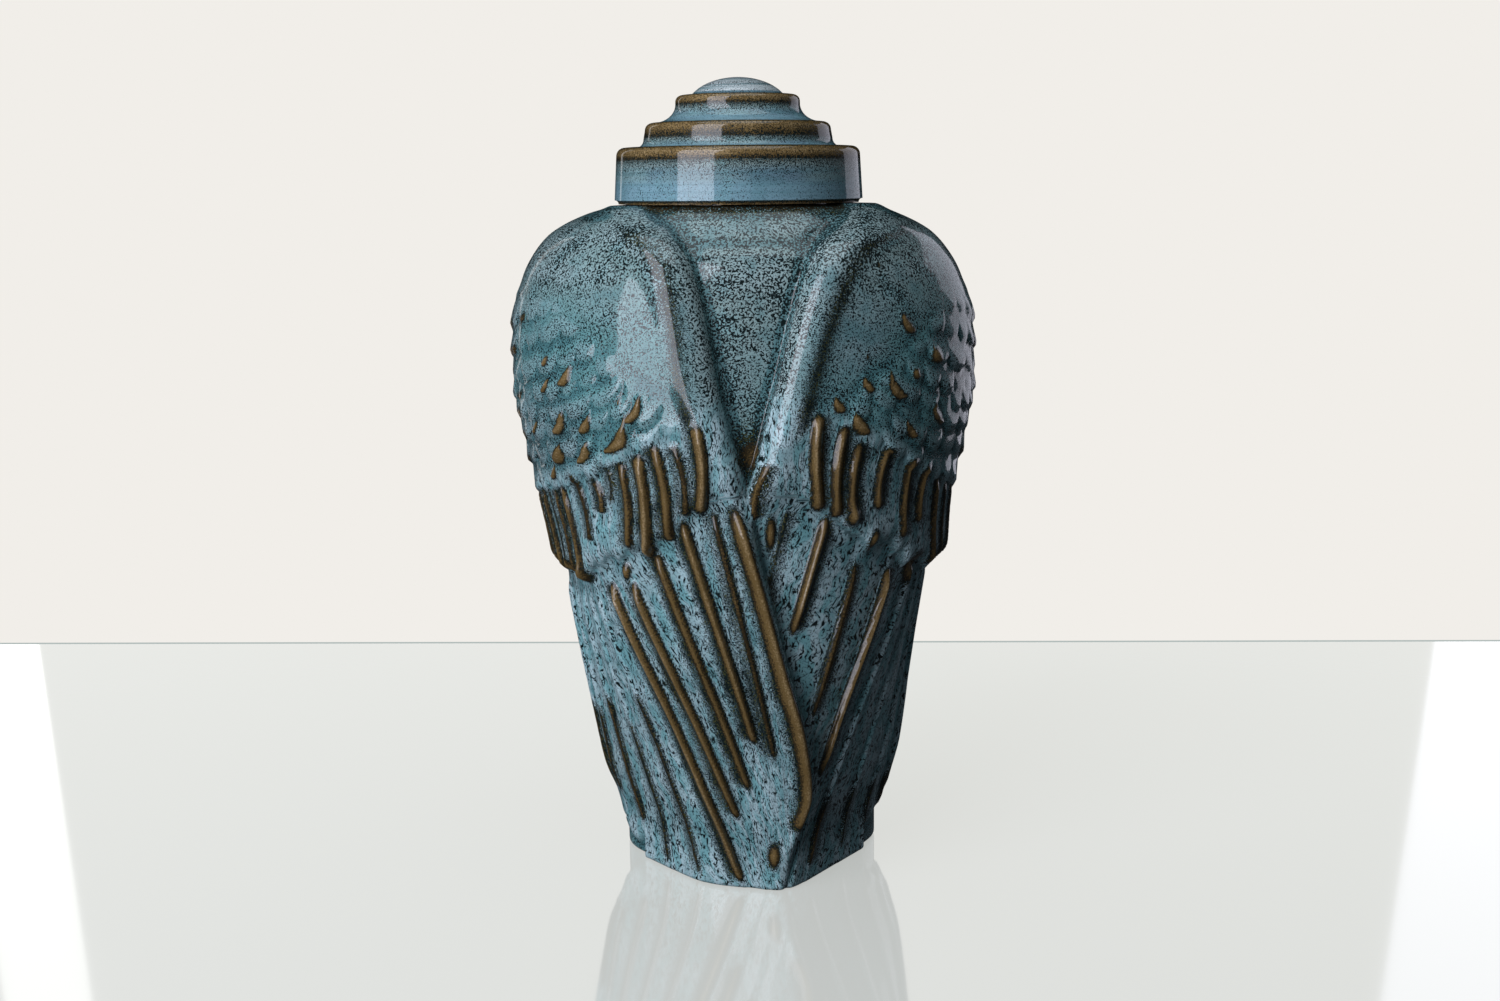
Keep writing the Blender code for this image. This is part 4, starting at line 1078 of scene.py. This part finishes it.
def speckled_glaze(name, look):
    """Glossy glaze: blue where it pools, dotted with black, and brown where it runs thin."""
    material, shader = new_material(name)
    glaze = Glaze(material.node_tree)
    at = followed_fields(glaze, look)
    speck = specks(glaze, look, at)
    blue = glaze.mix(grains(glaze, at), blue_coats(glaze, look, at), INK)
    blue = glaze.mix(speck, blue, INK)
    swell = glaze.times(glaze.noise(at.place, SWELL_NOISE, 2), look.swell)
    height = glaze.added(glaze.math("SUBTRACT", 1, speck), FINE_BUMP, swell)
    bumped = {"Strength": .6, "Distance": 1, "Height": height}
    put(shader, {
        "Base Color": browned(glaze, look, at, blue),
        "Roughness": glaze.blend(speck, .055, .12),
        "Normal": glaze.node("ShaderNodeBump", bumped, "Normal"),
        "IOR": 1.5,
    })
    return material


def dress(piece, material, node):
    """Give a piece its material and its place in the frame."""
    piece.data.materials.append(material)
    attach(piece, "root")
    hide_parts(node)


def pale_material(name, colour, glow=1, diffuse=0, ior=1):
    """Pale stage surface that shows its own colour evenly, under a soft shadow and a reflection."""
    material, shader = new_material(name)
    put(shader, {
        "Base Color": (*(diffuse * channel for channel in colour), 1),
        "Emission Color": (*colour, 1),
        "Emission Strength": glow,
        "Roughness": .06 if ior > 1 else 1,
        "IOR": ior,
        "Specular IOR Level": .5 if ior > 1 else 0,
    })
    material.cycles.emission_sampling = "NONE"
    return material


def sheet(name, corners, material):
    """Flat stage surface from its four corners."""
    mesh = bpy.data.meshes.new(name)
    mesh.from_pydata(corners, [], [(0, 1, 2, 3)])
    mesh.materials.append(material)
    surface = linked(name, mesh)
    seen_by(surface)
    return surface


def seen_by(surface, camera=True, glossy=False):
    """Let a stage surface show to the camera or in reflections, and light nothing."""
    surface.visible_camera = camera
    surface.visible_glossy = glossy
    surface.visible_diffuse = False
    surface.visible_transmission = False
    surface.visible_shadow = False


def pale_stage():
    """Pale table with its back edge, backdrop, and the wall that only the table mirrors."""
    slope = math.tan(math.radians(TABLE_TURN))
    left = (-REACH, TABLE_EDGE + REACH * slope)
    right = (REACH, TABLE_EDGE - REACH * slope)
    table = sheet(
        "table",
        [(-REACH, -REACH, 0), (REACH, -REACH, 0), (*right, 0), (*left, 0)],
        pale_material("pale_table", PALE_TABLE, glow=.6, diffuse=.2, ior=2.4),
    )
    sheet(
        "table_edge",
        [(*left, 0), (*right, 0), (*right, EDGE_LINE), (*left, EDGE_LINE)],
        pale_material("edge_line", GREY_LINE),
    )
    bpy.ops.mesh.primitive_uv_sphere_add(segments=48, ring_count=24, radius=2 * REACH)
    backdrop = bpy.context.object
    backdrop.name = "backdrop"
    wall = pale_material("pale_wall", PALE_WALL)
    backdrop.data.materials.append(wall)
    seen_by(backdrop)
    card = sheet(
        "reflected_wall",
        [(-CARD_REACH, CARD_PLACE, 0), (CARD_REACH, CARD_PLACE, 0),
         (CARD_REACH, CARD_PLACE, CARD_HEIGHT), (-CARD_REACH, CARD_PLACE, CARD_HEIGHT)],
        wall,
    )
    seen_by(card, camera=False, glossy=True)
    card.light_linking.receiver_collection = bpy.data.collections.new("mirrors_the_wall")
    card.light_linking.receiver_collection.objects.link(table)


def soft_light():
    """The four lights, which the camera doesn't see, and a dim blue light from all round."""
    for name, (azimuth, distance, height, aim, size, power, colour) in LIGHTS.items():
        light = bpy.data.lights.new(name, "AREA")
        light.shape = "RECTANGLE"
        light.size, light.size_y = size
        light.energy = power
        light.color = colour
        lamp = linked(name, light)
        theta = math.radians(azimuth)
        lamp.location = (distance * math.sin(theta), -distance * math.cos(theta), height)
        to_aim = Vector((0, 0, aim)) - lamp.location
        lamp.rotation_euler = to_aim.to_track_quat("-Z", "Y").to_euler()
        lamp.visible_camera = False
    world = bpy.data.worlds.new("studio")
    bpy.context.scene.world = world
    world.use_nodes = True
    put(world.node_tree.nodes["Background"], {"Color": WORLD_COLOUR, "Strength": WORLD_STRENGTH})


def camera():
    """Camera at the photograph's place, with its angle of view."""
    lens = bpy.data.cameras.new("camera")
    lens.sensor_width = SENSOR_WIDTH
    lens.lens = FOCAL_PIXELS / FRAME_WIDTH * SENSOR_WIDTH
    view = linked("camera", lens)
    pitch = Matrix.Rotation(math.radians(90 - CAMERA_PITCH), 4, "X")
    roll = Matrix.Rotation(math.radians(CAMERA_ROLL), 4, "Z")
    view.matrix_world = Matrix.Translation(CAMERA_PLACE) @ pitch @ roll
    bpy.context.scene.camera = view
    bpy.context.scene.view_settings.view_transform = "Standard"


dress(glazed_vessel(), speckled_glaze("vessel_glaze", VESSEL_LOOK), "urn_body")
dress(turned_lid(), speckled_glaze("lid_glaze", LID_LOOK), "lid")
pale_stage()
soft_light()
camera()
